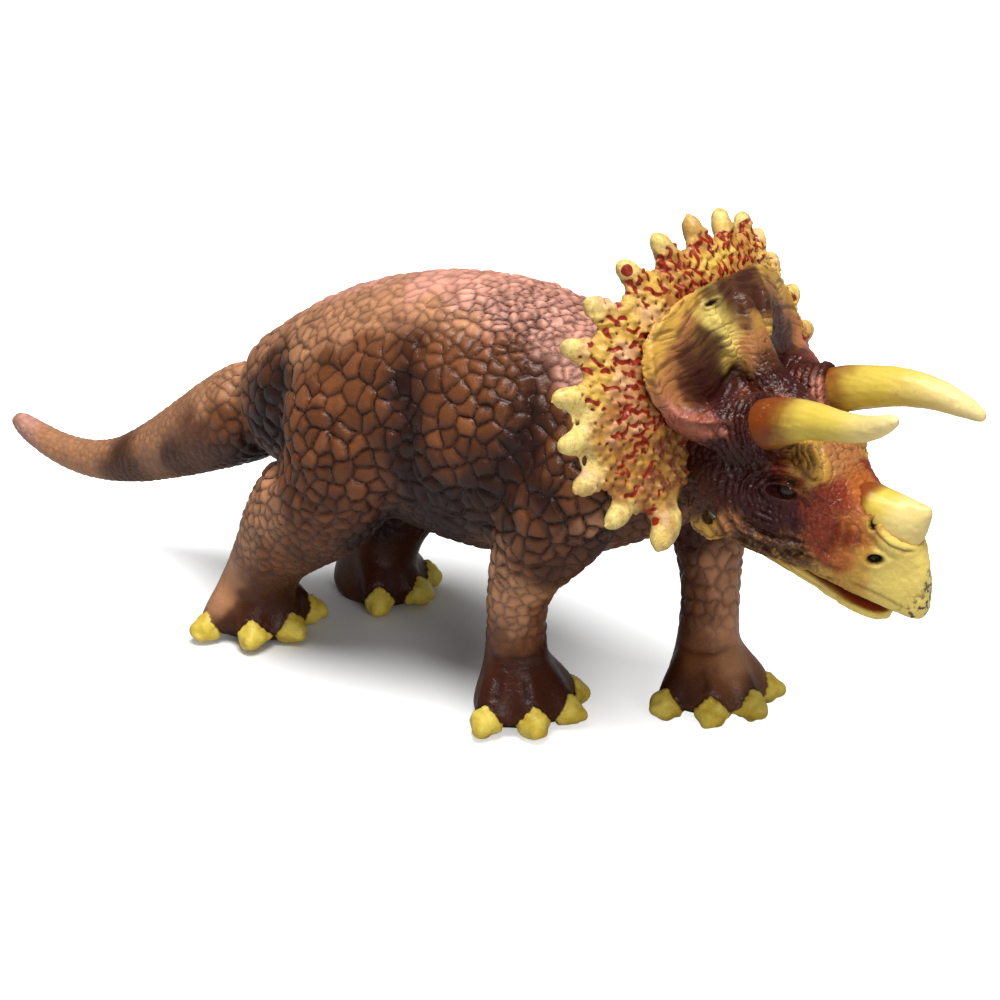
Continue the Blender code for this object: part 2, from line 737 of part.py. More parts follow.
# Skull
skull = place("skull", skull_mesh("skull"), FACE)
subdivide(skull)
shield = tool("shield", fan_mesh("shield", shield_columns(), SHIELD_ROW_SHARES, SHIELD_LIFT))
thicken(shield, SHIELD_WALL)
subdivide(shield)
join(skull, shield)
crest_stations = []
for along, rise, radius in CREST_SHARES:
    width = CREST_WIDTH / 2 * radius
    crest_stations.append((skull_point(along, 0, -rise), width, width))
crest = tool("crest", swept("crest", crest_stations, HORN_SIDES))
subdivide(crest)
join(skull, crest)
crest_clear = tool("crest_clear", swept("crest_clear", crest_stations, HORN_SIDES))
subdivide(crest_clear)
grow(crest_clear, GAP)
cut(frill, crest_clear)
sockets = []
for side, sign in (("right", -1), ("left", 1)):
    bar_stations = []
    for along, outwards, rise, radius in BAR_SHARES:
        middle = skull_point(along, sign * SKULL_WIDTH / 2 * outwards, -rise)
        bar_stations.append((middle, BROW_SIZE * radius, BROW_SIZE * radius))
    bar = tool(f"bar_{side}", swept(f"bar_{side}", bar_stations, HORN_SIDES))
    subdivide(bar)
    join(skull, bar)
    bar_clear = tool(f"bar_clear_{side}", swept(f"bar_clear_{side}", bar_stations, HORN_SIDES))
    subdivide(bar_clear)
    grow(bar_clear, GAP)
    cut(frill, bar_clear)
    brow_middle = skull_point(BROW_PLACE_SHARE, sign * (HORN_SPREAD / 2 - COLLAR_WALL),
                              BROW_DROP_SHARE)
    join(skull, ball(f"brow_{side}", brow_middle,
                     [BROW_SIZE * share for share in BROW_SHAPE_SHARES]))
for name, shares, sign in (("brow_horn_right", RIGHT_HORN_SHARES, -1),
                           ("brow_horn_left", LEFT_HORN_SHARES, 1)):
    sockets.extend(brow_horn(name, shares, sign))

nose_horn = place("nose_horn", nose_horn_mesh("nose_horn"), HORN)
subdivide(nose_horn)
nose_clear = tool("nose_clear", nose_horn_mesh("nose_clear"))
subdivide(nose_clear)
grow(nose_clear, GAP)

# Jaw, its hinge pin and the bosses that carry the pin
hinge = Vector((SKULL_REAR + JAW_SETBACK, 0, FAN_HEIGHT - HINGE_DROP))
jaw = place("lower_jaw", jaw_mesh("lower_jaw"), FACE)
jaw.location = hinge
subdivide(jaw)
barrel_half = ACROSS * JAW_WIDTH / 2 * JAW_SHARES[0][3]
join(jaw, rod("jaw_barrel", hinge - barrel_half, hinge + barrel_half, BARREL_RADIUS))
pin_half = ACROSS * PIN_LENGTH / 2
pin_hole = rod("pin_hole", hinge - ACROSS * SKULL_WIDTH, hinge + ACROSS * SKULL_WIDTH,
               PIN_RADIUS + PIN_FIT)
cut(jaw, pin_hole)
boss_half = pin_half + ACROSS * OVERRUN
join(skull, rod("bosses", hinge - boss_half, hinge + boss_half, BOSS_RADIUS))
pocket = tool("jaw_pocket", jaw_pocket_mesh())
pocket.location = hinge
subdivide(pocket)
cut(skull, pocket)
pocket_half = barrel_half + ACROSS * JAW_CLEARANCE
cut(skull, rod("barrel_pocket", hinge - pocket_half, hinge + pocket_half,
               BARREL_RADIUS + JAW_CLEARANCE))
cut(skull, TORSO_CLEAR, nose_clear, pin_hole, *sockets)
pin = place("jaw_pin", rod_mesh("jaw_pin", -pin_half, pin_half, PIN_RADIUS), METAL)
pin.location = hinge

# The figure stands over the middle of its own outline
bpy.context.view_layer.update()
depsgraph = bpy.context.evaluated_depsgraph_get()
corners = []
for piece in FIGURE.objects:
    shape = piece.evaluated_get(depsgraph)
    corners.extend(shape.matrix_world @ Vector(corner) for corner in shape.bound_box)
for axis in (0, 1):
    low = min(corner[axis] for corner in corners)
    high = max(corner[axis] for corner in corners)
    STAND.location[axis] = -(low + high) / 2
bpy.context.view_layer.update()
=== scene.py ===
import json
import math

import bmesh
import bpy
import numpy as np
from bpy.props import FloatProperty, FloatVectorProperty, IntProperty, PointerProperty
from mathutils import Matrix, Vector, kdtree
from mathutils.bvhtree import BVHTree


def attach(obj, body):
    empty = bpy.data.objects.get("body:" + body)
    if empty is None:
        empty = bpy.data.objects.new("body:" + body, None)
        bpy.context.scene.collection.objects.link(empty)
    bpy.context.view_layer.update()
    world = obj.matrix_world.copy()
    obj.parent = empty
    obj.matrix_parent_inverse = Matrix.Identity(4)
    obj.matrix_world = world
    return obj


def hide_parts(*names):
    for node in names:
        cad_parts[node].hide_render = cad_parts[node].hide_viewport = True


bl_info = {
    "name": "Horned dinosaur figure",
    "version": (1, 0, 0),
    "blender": (4, 5, 0),
    "location": "3D View > Sidebar > Dinosaur",
    "description": "Scaly hide, painted head, frill, horns, jaw and studio for the toy dinosaur figure",
    "category": "Object",
}

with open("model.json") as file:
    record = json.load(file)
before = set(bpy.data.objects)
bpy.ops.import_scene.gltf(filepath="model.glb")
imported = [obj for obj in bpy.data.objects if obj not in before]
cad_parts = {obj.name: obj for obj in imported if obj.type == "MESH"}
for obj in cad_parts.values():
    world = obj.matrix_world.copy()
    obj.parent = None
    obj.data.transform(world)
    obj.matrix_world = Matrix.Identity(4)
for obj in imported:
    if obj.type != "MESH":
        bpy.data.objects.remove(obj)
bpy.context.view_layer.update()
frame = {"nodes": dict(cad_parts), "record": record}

MM = 0.001
HIDE_NODES = ("torso", "tail", "fore_leg_right", "fore_leg_left", "hind_leg_right", "hind_leg_left")

# The camera stands where the photograph was taken. A place given in pixels is found along its ray.
AZIMUTH = math.radians(37)
ELEVATION = math.radians(22)
CAMERA_DISTANCE = 0.5
AIM = Vector((0.02534, -0.0041, 0.039))
LENS = 92.47
SENSOR = 36.0
PHOTO_SIZE = 1000
BACK = Vector((
    math.sin(AZIMUTH) * math.cos(ELEVATION),
    -math.cos(AZIMUTH) * math.cos(ELEVATION),
    math.sin(ELEVATION),
))
CAMERA_PLACE = AIM + BACK * CAMERA_DISTANCE


# Places

def own(x, y, z):
    """A place on the figure in millimetres, from the mark between its feet, in the frame's metres."""
    return np.array([x - 1.658, y, z]) * MM


def ray(px, py):
    """The direction from the camera through a pixel."""
    right = Vector((math.cos(AZIMUTH), math.sin(AZIMUTH), 0))
    up = BACK.cross(right)
    focal = LENS / SENSOR * PHOTO_SIZE
    half = PHOTO_SIZE / 2
    return (-BACK + right * ((px - half) / focal) + up * ((half - py) / focal)).normalized()


class Surface:
    """A mesh's surface, for finding the places of pixels and their mirror places on it."""

    def __init__(self, mesh):
        self.tree = BVHTree.FromPolygons(
            [v.co for v in mesh.vertices], [p.vertices for p in mesh.polygons]
        )

    def pixel(self, px, py):
        hit = self.tree.ray_cast(CAMERA_PLACE, ray(px, py))[0]
        return None if hit is None else np.array(hit)

    def line(self, pixels, mirrored=False):
        """The places of a line of pixels, close together, or of its mirror image across the middle."""
        dense = []
        for (ax, ay), (bx, by) in zip(pixels, pixels[1:]):
            count = max(1, int(math.hypot(bx - ax, by - ay) / 4))
            dense += [(ax + (bx - ax) * i / count, ay + (by - ay) * i / count) for i in range(count)]
        dense.append(pixels[-1])
        places = [self.pixel(*p) for p in dense]
        places = [p for p in places if p is not None]
        if mirrored:
            flipped = [self.tree.find_nearest(Vector((p[0], -p[1], p[2])))[0] for p in places]
            places = [np.array(p) for p in flipped]
        return np.array(places)


def smooth_step(low, high, value):
    t = np.clip((value - low) / (high - low), 0, 1)
    return t * t * (3 - 2 * t)


def line_distance(co, line):
    """Each point's distance to a line of places, and how far along the line it is, from 0 to 1."""
    best = np.full(len(co), 1e9)
    along = np.zeros(len(co))
    lengths = np.linalg.norm(np.diff(line, axis=0), axis=1)
    total = max(lengths.sum(), 1e-9)
    start = 0.0
    for a, b, length in zip(line, line[1:], lengths):
        d = b - a
        t = np.clip(((co - a) @ d) / max(d @ d, 1e-18), 0, 1)
        dist = np.linalg.norm(co - a - t[:, None] * d, axis=1)
        nearer = dist < best
        best[nearer] = dist[nearer]
        along[nearer] = (start + t[nearer] * length) / total
        start += length
    return best, along


def hash_noise(co, size, seed):
    """Smooth noise from 0 to 1 at each place, with features of the given size."""
    p = co / size + seed * 17.31
    cell = np.floor(p).astype(np.int64)
    f = p - cell
    f = f * f * (3 - 2 * f)
    out = np.zeros(len(co))
    for dx in (0, 1):
        for dy in (0, 1):
            for dz in (0, 1):
                n = (cell[:, 0] + dx) * 374761393 + (cell[:, 1] + dy) * 668265263
                n = (n + (cell[:, 2] + dz) * 2147483647 + seed * 1274126177) & 0xFFFFFFFF
                n = ((n ^ (n >> 13)) * 1103515245) & 0xFFFFFFFF
                n = ((n ^ (n >> 16)) & 0xFFFF) / 65535.0
                w = (f[:, 0] if dx else 1 - f[:, 0]) * (f[:, 1] if dy else 1 - f[:, 1])
                out += n * w * (f[:, 2] if dz else 1 - f[:, 2])
    return out


def dabs(surface, marks, mirrored=True):
    """The places of dabs of paint, given as (paint, (pixel, pixel, ...)), on both sides of the animal."""
    found = []
    for paint, pixels in marks:
        for px, py in pixels:
            place = surface.pixel(px, py)
            if place is None:
                continue
            found.append((paint, place))
            if mirrored:
                found.append((paint, place * np.array([1, -1, 1])))
    return found


def lay_paint(mesh, co, found, paints, soft=3.0, power=2.0):
    """Spreads dabs of paint over a surface, each as far as its neighbours, with airbrushed borders.

    Stores how much of each paint covers those before it.
    """
    wander = np.stack([hash_noise(co, 5 * MM, i) + 0.4 * hash_noise(co, 1.6 * MM, i + 9) - 0.7 for i in (71, 72, 73)], 1)
    where = co + wander * 3.2 * MM
    weight = np.zeros((len(paints), len(co)))
    for paint, place in found:
        d2 = ((where - place) ** 2).sum(1) / MM ** 2
        weight[paints.index(paint)] += 1 / (d2 + soft) ** power
    total = weight[0] + 1e-12
    for index, paint in enumerate(paints[1:], 1):
        total = total + weight[index]
        keep(mesh, paint, weight[index] / total)


# Meshes

def coords(mesh):
    co = np.empty(len(mesh.vertices) * 3, np.float32)
    mesh.vertices.foreach_get("co", co)
    return co.reshape(-1, 3).astype(float)


def normals(mesh):
    n = np.empty(len(mesh.vertices) * 3, np.float32)
    mesh.vertex_normals.foreach_get("vector", n)
    return n.reshape(-1, 3).astype(float)


def set_coords(mesh, co):
    mesh.vertices.foreach_set("co", co.astype(np.float32).ravel())
    mesh.update()


def keep(mesh, name, values):
    """Stores one number for each vertex."""
    attribute = mesh.attributes.get(name) or mesh.attributes.new(name, "FLOAT", "POINT")
    attribute.data.foreach_set("value", values.astype(np.float32))


def kept(mesh, name):
    values = np.empty(len(mesh.vertices), np.float32)
    mesh.attributes[name].data.foreach_get("value", values)
    return values.astype(float)


def scene_object(name, mesh):
    found = bpy.data.objects.new(name, mesh)
    bpy.context.scene.collection.objects.link(found)
    return found


def cad_copy(name, *nodes, swell=0.0):
    """One mesh from copies of CAD nodes, each swollen a little so that close joints run together."""
    bm = bmesh.new()
    for node in nodes:
        part = bmesh.new()
        part.from_mesh(frame["nodes"][node].data)
        bmesh.ops.remove_doubles(part, verts=part.verts, dist=1e-6)
        part.normal_update()
        for v in part.verts:
            v.co += v.normal * swell
        mesh = bpy.data.meshes.new("part")
        part.to_mesh(mesh)
        part.free()
        bm.from_mesh(mesh)
        bpy.data.meshes.remove(mesh)
    whole = bpy.data.meshes.new(name)
    bm.to_mesh(whole)
    bm.free()
    return whole


def modified(mesh, *modifiers):
    """The mesh after modifiers, each given as (type, settings)."""
    work = scene_object("work", mesh)
    for kind, settings in modifiers:
        modifier = work.modifiers.new(kind, kind)
        for key, value in settings.items():
            setattr(modifier, key, value)
    evaluated = work.evaluated_get(bpy.context.evaluated_depsgraph_get())
    result = bpy.data.meshes.new_from_object(evaluated)
    bpy.data.objects.remove(work)
    return result


def even_skin(mesh, voxel):
    """The mesh with even square faces and its pieces run together."""
    return modified(mesh, ("REMESH", {"mode": "VOXEL", "voxel_size": voxel, "adaptivity": 0.0}))


def closed_up(mesh, reach, voxel):
    """Fills the narrow corners of a mesh: it is swollen, its skin made even, and shrunk back."""
    set_coords(mesh, coords(mesh) + normals(mesh) * reach)
    mesh = even_skin(mesh, voxel)
    relaxed(mesh, 2)
    set_coords(mesh, coords(mesh) - normals(mesh) * reach)
    return even_skin(mesh, voxel)


def loft(rings, sides=24):
    """A closed skin through rings, each a list of its middle, two half-width vectors."""
    bm = bmesh.new()
    rows = []
    for middle, across, up in rings:
        angles = [2 * math.pi * i / sides for i in range(sides)]
        rows.append([bm.verts.new(middle + across * math.cos(a) + up * math.sin(a)) for a in angles])
    for a, b in zip(rows, rows[1:]):
        for i in range(sides):
            bm.faces.new((a[i - 1], a[i], b[i], b[i - 1]))
    bm.faces.new(rows[0])
    bm.faces.new(rows[-1])
    bmesh.ops.recalc_face_normals(bm, faces=bm.faces)
    mesh = bpy.data.meshes.new("loft")
    bm.to_mesh(mesh)
    bm.free()
    return mesh


def together(*meshes):
    """The meshes as one, and the loose ones are removed."""
    bm = bmesh.new()
    for mesh in meshes:
        bm.from_mesh(mesh)
        bpy.data.meshes.remove(mesh)
    whole = bpy.data.meshes.new("whole")
    bm.to_mesh(whole)
    bm.free()
    return whole


def subdivided(mesh):
    return modified(mesh, ("SUBSURF", {"levels": 1, "render_levels": 1}))


def relaxed(mesh, rounds, weight=None):
    """Evens out the mesh's surface. weight is how much of it each vertex takes."""
    co = coords(mesh)
    edges = np.empty(len(mesh.edges) * 2, np.int32)
    mesh.edges.foreach_get("vertices", edges)
    a, b = edges.reshape(-1, 2).T
    count = np.bincount(a, minlength=len(co)) + np.bincount(b, minlength=len(co))
    share = np.ones(len(co)) if weight is None else weight
    for i in range(rounds):
        total = np.zeros_like(co)
        for axis in range(3):
            total[:, axis] = np.bincount(a, co[b, axis], len(co)) + np.bincount(b, co[a, axis], len(co))
        mean = total / count[:, None]
        pull = 0.6 if i % 2 == 0 else -0.62
        co += (mean - co) * (pull * share)[:, None]
    set_coords(mesh, co)


# Scales

def scale_seeds(co, spacing, seed):
    """Picks points so that each keeps its own spacing, for the middles of the scales."""
    rng = np.random.default_rng(seed)
    order = rng.permutation(len(co))
    reach = spacing.max()
    grid = {}
    picked = []
    cells = np.floor(co / reach).astype(int)
    for i in order:
        cx, cy, cz = cells[i]
        r2 = spacing[i] ** 2
        p = co[i]
        clear = True
        for dx in (-1, 0, 1):
            for dy in (-1, 0, 1):
                for dz in (-1, 0, 1):
                    for j in grid.get((cx + dx, cy + dy, cz + dz), ()):
                        q = co[j]
                        if (p[0] - q[0]) ** 2 + (p[1] - q[1]) ** 2 + (p[2] - q[2]) ** 2 < r2:
                            clear = False
                            break
                    if not clear:
                        break
                if not clear:
                    break
            if not clear:
                break
        if clear:
            picked.append(i)
            grid.setdefault((cx, cy, cz), []).append(i)
    return co[picked]


def tree_of(points):
    tree = kdtree.KDTree(len(points))
    for i, p in enumerate(points):
        tree.insert(p, i)
    tree.balance()
    return tree


def scale_edges(co, seeds):
    """Each place's distance to the edge of its scale, and which scale it is on."""
    tree = tree_of(seeds)
    near = np.array([[(found[1], found[2]) for found in tree.find_n(p, 3)] for p in co])
    which = near[:, :, 0].astype(int)
    dist = near[:, :, 1]
    first = seeds[which[:, 0]]
    edge = np.full(len(co), 1.0)
    for k in (1, 2):
        apart = np.linalg.norm(seeds[which[:, k]] - first, axis=1)
        edge = np.minimum(edge, (dist[:, k] ** 2 - dist[:, 0] ** 2) / (2 * np.maximum(apart, 1e-9)))
    return edge, which[:, 0]


def sculpt(surface, co, strokes, mirror=True):
    """Depth of moulded folds along lines of pixels, and how dark they are painted: washed dark in the narrow folds,
    painted shade in the broad ones.

    A stroke is (pixels, width in mm, depth in mm, wash); a negative depth is a ridge.
    """
    fold = np.zeros(len(co))
    wash_and_shade = np.zeros(len(co))
    for pixels, width, depth, dark in strokes:
        for mirrored in ((False, True) if mirror else (False,)):
            line = surface.line(pixels, mirrored)
            if len(line) < 2:
                continue
            low, high = line.min(0) - 3 * width * MM, line.max(0) + 3 * width * MM
            near = np.all((co > low) & (co < high), axis=1)
            if not near.any():
                continue
            d, along = line_distance(co[near], line)
            ends = smooth_step(0, 0.22, along) * smooth_step(1, 0.78, along)
            profile = np.exp(-((d / (width * MM)) ** 2)) * (0.15 + 0.85 * ends)
            fold[near] -= profile * depth * MM
            wash_and_shade[near] = np.maximum(wash_and_shade[near], profile * dark)
    return fold, wash_and_shade


# Relief by Geometry Nodes

def socket(group, name, kind, default=None, output=False):
    made = group.interface.new_socket(name, in_out="OUTPUT" if output else "INPUT", socket_type=kind)
    if default is not None:
        made.default_value = default
    return made


def relief_tree():
    """Raises a surface along its normals by its stored relief and by fine grain, and gives it its material."""
    found = bpy.data.node_groups.get("moulded relief")
    if found:
        return found
    tree = bpy.data.node_groups.new("moulded relief", "GeometryNodeTree")
    socket(tree, "Geometry", "NodeSocketGeometry", output=True)
    socket(tree, "Geometry", "NodeSocketGeometry")
    socket(tree, "Relief share", "NodeSocketFloat", 1.0)
    socket(tree, "Grain height", "NodeSocketFloat", 0.00005)
    socket(tree, "Grain size", "NodeSocketFloat", 0.0008)
    socket(tree, "Seed", "NodeSocketFloat", 3.0)
    socket(tree, "Material", "NodeSocketMaterial")
    nodes, links = tree.nodes, tree.links
    start = nodes.new("NodeGroupInput")
    end = nodes.new("NodeGroupOutput")
    stored = nodes.new("GeometryNodeInputNamedAttribute")
    stored.data_type = "FLOAT"
    stored.inputs["Name"].default_value = "relief"
    loose = nodes.new("GeometryNodeInputNamedAttribute")
    loose.data_type = "FLOAT"
    loose.inputs["Name"].default_value = "grain"
    normal = nodes.new("GeometryNodeInputNormal")
    place = nodes.new("GeometryNodeInputPosition")
    grain = nodes.new("ShaderNodeTexNoise")
    grain.noise_dimensions = "4D"
    grain.inputs["Detail"].default_value = 2.0
    scale = nodes.new("ShaderNodeMath")
    scale.operation = "DIVIDE"
    scale.inputs[0].default_value = 1.0
    links.new(start.outputs["Grain size"], scale.inputs[1])
    links.new(place.outputs[0], grain.inputs["Vector"])
    links.new(scale.outputs[0], grain.inputs["Scale"])
    links.new(start.outputs["Seed"], grain.inputs["W"])
    centred = nodes.new("ShaderNodeMath")
    centred.operation = "SUBTRACT"
    centred.inputs[1].default_value = 0.5
    links.new(grain.outputs[0], centred.inputs[0])
    fine = nodes.new("ShaderNodeMath")
    fine.operation = "MULTIPLY"
    links.new(centred.outputs[0], fine.inputs[0])
    links.new(start.outputs["Grain height"], fine.inputs[1])
    masked = nodes.new("ShaderNodeMath")
    masked.operation = "MULTIPLY"
    links.new(fine.outputs[0], masked.inputs[0])
    links.new(loose.outputs["Attribute"], masked.inputs[1])
    big = nodes.new("ShaderNodeMath")
    big.operation = "MULTIPLY"
    links.new(stored.outputs["Attribute"], big.inputs[0])
    links.new(start.outputs["Relief share"], big.inputs[1])
    total = nodes.new("ShaderNodeMath")
    total.operation = "ADD"
    links.new(big.outputs[0], total.inputs[0])
    links.new(masked.outputs[0], total.inputs[1])
    offset = nodes.new("ShaderNodeVectorMath")
    offset.operation = "SCALE"
    links.new(normal.outputs[0], offset.inputs[0])
    links.new(total.outputs[0], offset.inputs["Scale"])
    move = nodes.new("GeometryNodeSetPosition")
    links.new(start.outputs["Geometry"], move.inputs["Geometry"])
    links.new(offset.outputs[0], move.inputs["Offset"])
    real = nodes.new("GeometryNodeRealizeInstances")
    links.new(move.outputs[0], real.inputs[0])
    paint = nodes.new("GeometryNodeSetMaterial")
    links.new(real.outputs[0], paint.inputs["Geometry"])
    links.new(start.outputs["Material"], paint.inputs["Material"])
    links.new(paint.outputs[0], end.inputs[0])
    return tree


def raised(mesh, material, **values):
    """The mesh after the relief tree, as a plain mesh."""
    tree = relief_tree()
    work = scene_object("work", mesh)
    modifier = work.modifiers.new("relief", "NODES")
    modifier.node_group = tree
    by_name = {i.name: i.identifier for i in tree.interface.items_tree if i.in_out == "INPUT"}
    for name, value in values.items():
        modifier[by_name[name.replace("_", " ")]] = value
    modifier[by_name["Material"]] = material
    evaluated = work.evaluated_get(bpy.context.evaluated_depsgraph_get())
    result = bpy.data.meshes.new_from_object(evaluated)
    bpy.data.objects.remove(work)
    return result


def finish_piece(name, mesh, body, replaced, material):
    """Puts a finished mesh in the scene as a piece that moves with its body."""
    mesh.name = name
    mesh.materials.clear()
    mesh.materials.append(material)
    mesh.shade_smooth()
    piece = scene_object(name, mesh)
    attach(piece, body)
    if replaced:
        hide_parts(*replaced)
    return piece


# Splitting the hide

def face_parts(mesh, nodes):
    """Which CAD node each face belongs to, with even borders between them."""
    places, faces, owner = [], [], []
    for index, node in enumerate(nodes):
        data = frame["nodes"][node].data
        first = len(places)
        places += [v.co for v in data.vertices]
        faces += [[first + v for v in p.vertices] for p in data.polygons]
        owner += [index] * len(data.polygons)
    tree = BVHTree.FromPolygons(places, faces)
    part = np.array([owner[tree.find_nearest(p.center)[2]] for p in mesh.polygons])
    loops = np.empty(len(mesh.loops), np.int32)
    mesh.loops.foreach_get("edge_index", loops)
    totals = np.array([p.loop_total for p in mesh.polygons])
    face_of = np.repeat(np.arange(len(totals)), totals)
    order = np.argsort(loops, kind="stable")
    pairs = face_of[order].reshape(-1, 2)
    for _ in range(12):
        votes = np.zeros((len(part), len(nodes)))
        votes[np.arange(len(part)), part] = 0.5
        for a, b in ((0, 1), (1, 0)):
            np.add.at(votes, (pairs[:, a], part[pairs[:, b]]), 1)
        part = votes.argmax(1)
    return part


def cut_out(mesh, part, index, smooth_normals):
    """The faces of one part as a closed mesh, with its stored values and the whole's normals."""
    polygons = [mesh.polygons[i].vertices[:] for i in np.nonzero(part == index)[0]]
    used = sorted({v for face in polygons for v in face})
    new = {v: i for i, v in enumerate(used)}
    faces = [tuple(new[v] for v in face) for face in polygons]
    co = coords(mesh)[used]
    seen = {}
    for face in faces:
        for a, b in zip(face, face[1:] + face[:1]):
            seen[(a, b)] = True
    border = {}
    for a, b in seen:
        if (b, a) not in seen:
            border.setdefault(b, []).append(a)
    points = [tuple(p) for p in co]
    extra = []
    while border:
        start = next(iter(border))
        loop = [start]
        while True:
            here = loop[-1]
            following = border[here].pop()
            if not border[here]:
                del border[here]
            if following == start:
                break
            loop.append(following)
        middle = np.mean([co[i] for i in loop], axis=0)
        extra.append(loop[0])
        points.append(tuple(middle))
        centre = len(points) - 1
        for a, b in zip(loop, loop[1:] + loop[:1]):
            faces.append((a, b, centre))
    result = bpy.data.meshes.new("part")
    result.from_pydata(points, [], faces)
    for attribute in mesh.attributes:
        if attribute.domain == "POINT" and attribute.data_type == "FLOAT":
            values = kept(mesh, attribute.name)[used]
            keep(result, attribute.name, np.concatenate([values, values[extra]]))
    n = np.concatenate([smooth_normals[used], smooth_normals[used][extra]])
    return result, n


# Shader pieces

def new_material(name):
    material = bpy.data.materials.new(name)
    material.use_nodes = True
    material.node_tree.nodes.clear()
    out = material.node_tree.nodes.new("ShaderNodeOutputMaterial")
    shader = material.node_tree.nodes.new("ShaderNodeBsdfPrincipled")
    material.node_tree.links.new(shader.outputs[0], out.inputs[0])
    return material, material.node_tree, shader


def colour(rgb):
    return (*rgb, 1.0)


class Paint:
    """Small helpers that add nodes to a tree."""

    def __init__(self, tree):
        self.nodes = tree.nodes
        self.links = tree.links

    def attribute(self, name):
        node = self.nodes.new("ShaderNodeAttribute")
        node.attribute_name = name
        return node.outputs["Fac"]

    def place(self):
        return self.nodes.new("ShaderNodeTexCoord").outputs["Object"]

    def set(self, target, value):
        if isinstance(value, bpy.types.NodeSocket):
            self.links.new(value, target)
        else:
            target.default_value = value

    def math(self, operation, a, b=0.0, clamp=False):
        node = self.nodes.new("ShaderNodeMath")
        node.operation = operation
        node.use_clamp = clamp
        self.set(node.inputs[0], a)
        self.set(node.inputs[1], b)
        return node.outputs[0]

    def range(self, value, low, high, to_low=0.0, to_high=1.0, smooth=True):
        node = self.nodes.new("ShaderNodeMapRange")
        node.interpolation_type = "SMOOTHSTEP" if smooth else "LINEAR"
        self.set(node.inputs["Value"], value)
        node.inputs["From Min"].default_value = low
        node.inputs["From Max"].default_value = high
        node.inputs["To Min"].default_value = to_low
        node.inputs["To Max"].default_value = to_high
        return node.outputs[0]

    def mix(self, factor, a, b, blend="MIX"):
        node = self.nodes.new("ShaderNodeMix")
        node.data_type = "RGBA"
        node.blend_type = blend
        self.set(node.inputs["Factor"], factor)
        self.set(node.inputs["A"], a)
        self.set(node.inputs["B"], b)
        return node.outputs["Result"]

    def noise(self, size, detail=3.0, vector=None, roughness=0.55):
        node = self.nodes.new("ShaderNodeTexNoise")
        self.links.new(vector or self.place(), node.inputs["Vector"])
        node.inputs["Scale"].default_value = 1.0 / size
        node.inputs["Detail"].default_value = detail
        node.inputs["Roughness"].default_value = roughness
        return node.outputs["Fac"]

    def cells(self, size, feature="DISTANCE_TO_EDGE", vector=None):
        node = self.nodes.new("ShaderNodeTexVoronoi")
        node.feature = feature
        self.links.new(vector or self.place(), node.inputs["Vector"])
        node.inputs["Scale"].default_value = 1.0 / size
        return node.outputs["Distance"]

    def group(self, tree, **values):
        node = self.nodes.new("ShaderNodeGroup")
        node.node_tree = tree
        for name, value in values.items():
            self.set(node.inputs[name.replace("_", " ")], value)
        return node

    def bump(self, height, strength, distance):
        node = self.nodes.new("ShaderNodeBump")
        node.inputs["Strength"].default_value = strength
        node.inputs["Distance"].default_value = distance
        self.links.new(height, node.inputs["Height"])
        return node.outputs[0]


def shader_group(name, inputs, outputs):
    tree = bpy.data.node_groups.new(name, "ShaderNodeTree")
    for label, kind, default in inputs:
        socket(tree, label, kind, default)
    for label, kind in outputs:
        socket(tree, label, kind, output=True)
    start = tree.nodes.new("NodeGroupInput")
    end = tree.nodes.new("NodeGroupOutput")
    return tree, Paint(tree), start, end


def handling_wear():
    """Dust, scuffs and paint thickness that every painted piece shares."""
    found = bpy.data.node_groups.get("handling wear")
    if found:
        return found
    tree, paint, start, end = shader_group(
        "handling wear",
        [
            ("Base", "NodeSocketColor", (0.5, 0.5, 0.5, 1)),
            ("Mottle", "NodeSocketFloat", 0.12),
            ("Roughness", "NodeSocketFloat", 0.42),
            ("Spread", "NodeSocketFloat", 0.14),
        ],
        [("Colour", "NodeSocketColor"), ("Roughness", "NodeSocketFloat"), ("Height", "NodeSocketFloat")],
    )
    cloud = paint.noise(0.006, 4.0)
    fine = paint.noise(0.0006, 3.0)
    shade = paint.math("ADD", paint.math("MULTIPLY", cloud, 0.7), paint.math("MULTIPLY", fine, 0.3))
    centred = paint.math("SUBTRACT", shade, 0.5)
    gain = paint.math("ADD", 1.0, paint.math("MULTIPLY", centred, paint.math("MULTIPLY", start.outputs["Mottle"], 4.0)))
    tint = paint.nodes.new("ShaderNodeVectorMath")
    tint.operation = "SCALE"
    paint.links.new(start.outputs["Base"], tint.inputs[0])
    paint.links.new(gain, tint.inputs["Scale"])
    paint.links.new(tint.outputs[0], end.inputs["Colour"])
    rough = paint.math("MULTIPLY", paint.math("SUBTRACT", paint.noise(0.0025, 3.0), 0.5), start.outputs["Spread"])
    rough = paint.math("ADD", start.outputs["Roughness"], paint.math("MULTIPLY", rough, 2.0), clamp=True)
    paint.links.new(rough, end.inputs["Roughness"])
    height = paint.math("ADD", paint.math("MULTIPLY", paint.noise(0.0005, 2.0), 0.5), paint.math("MULTIPLY", paint.noise(0.0016, 2.0), 0.5))
    paint.links.new(height, end.inputs["Height"])
    return tree


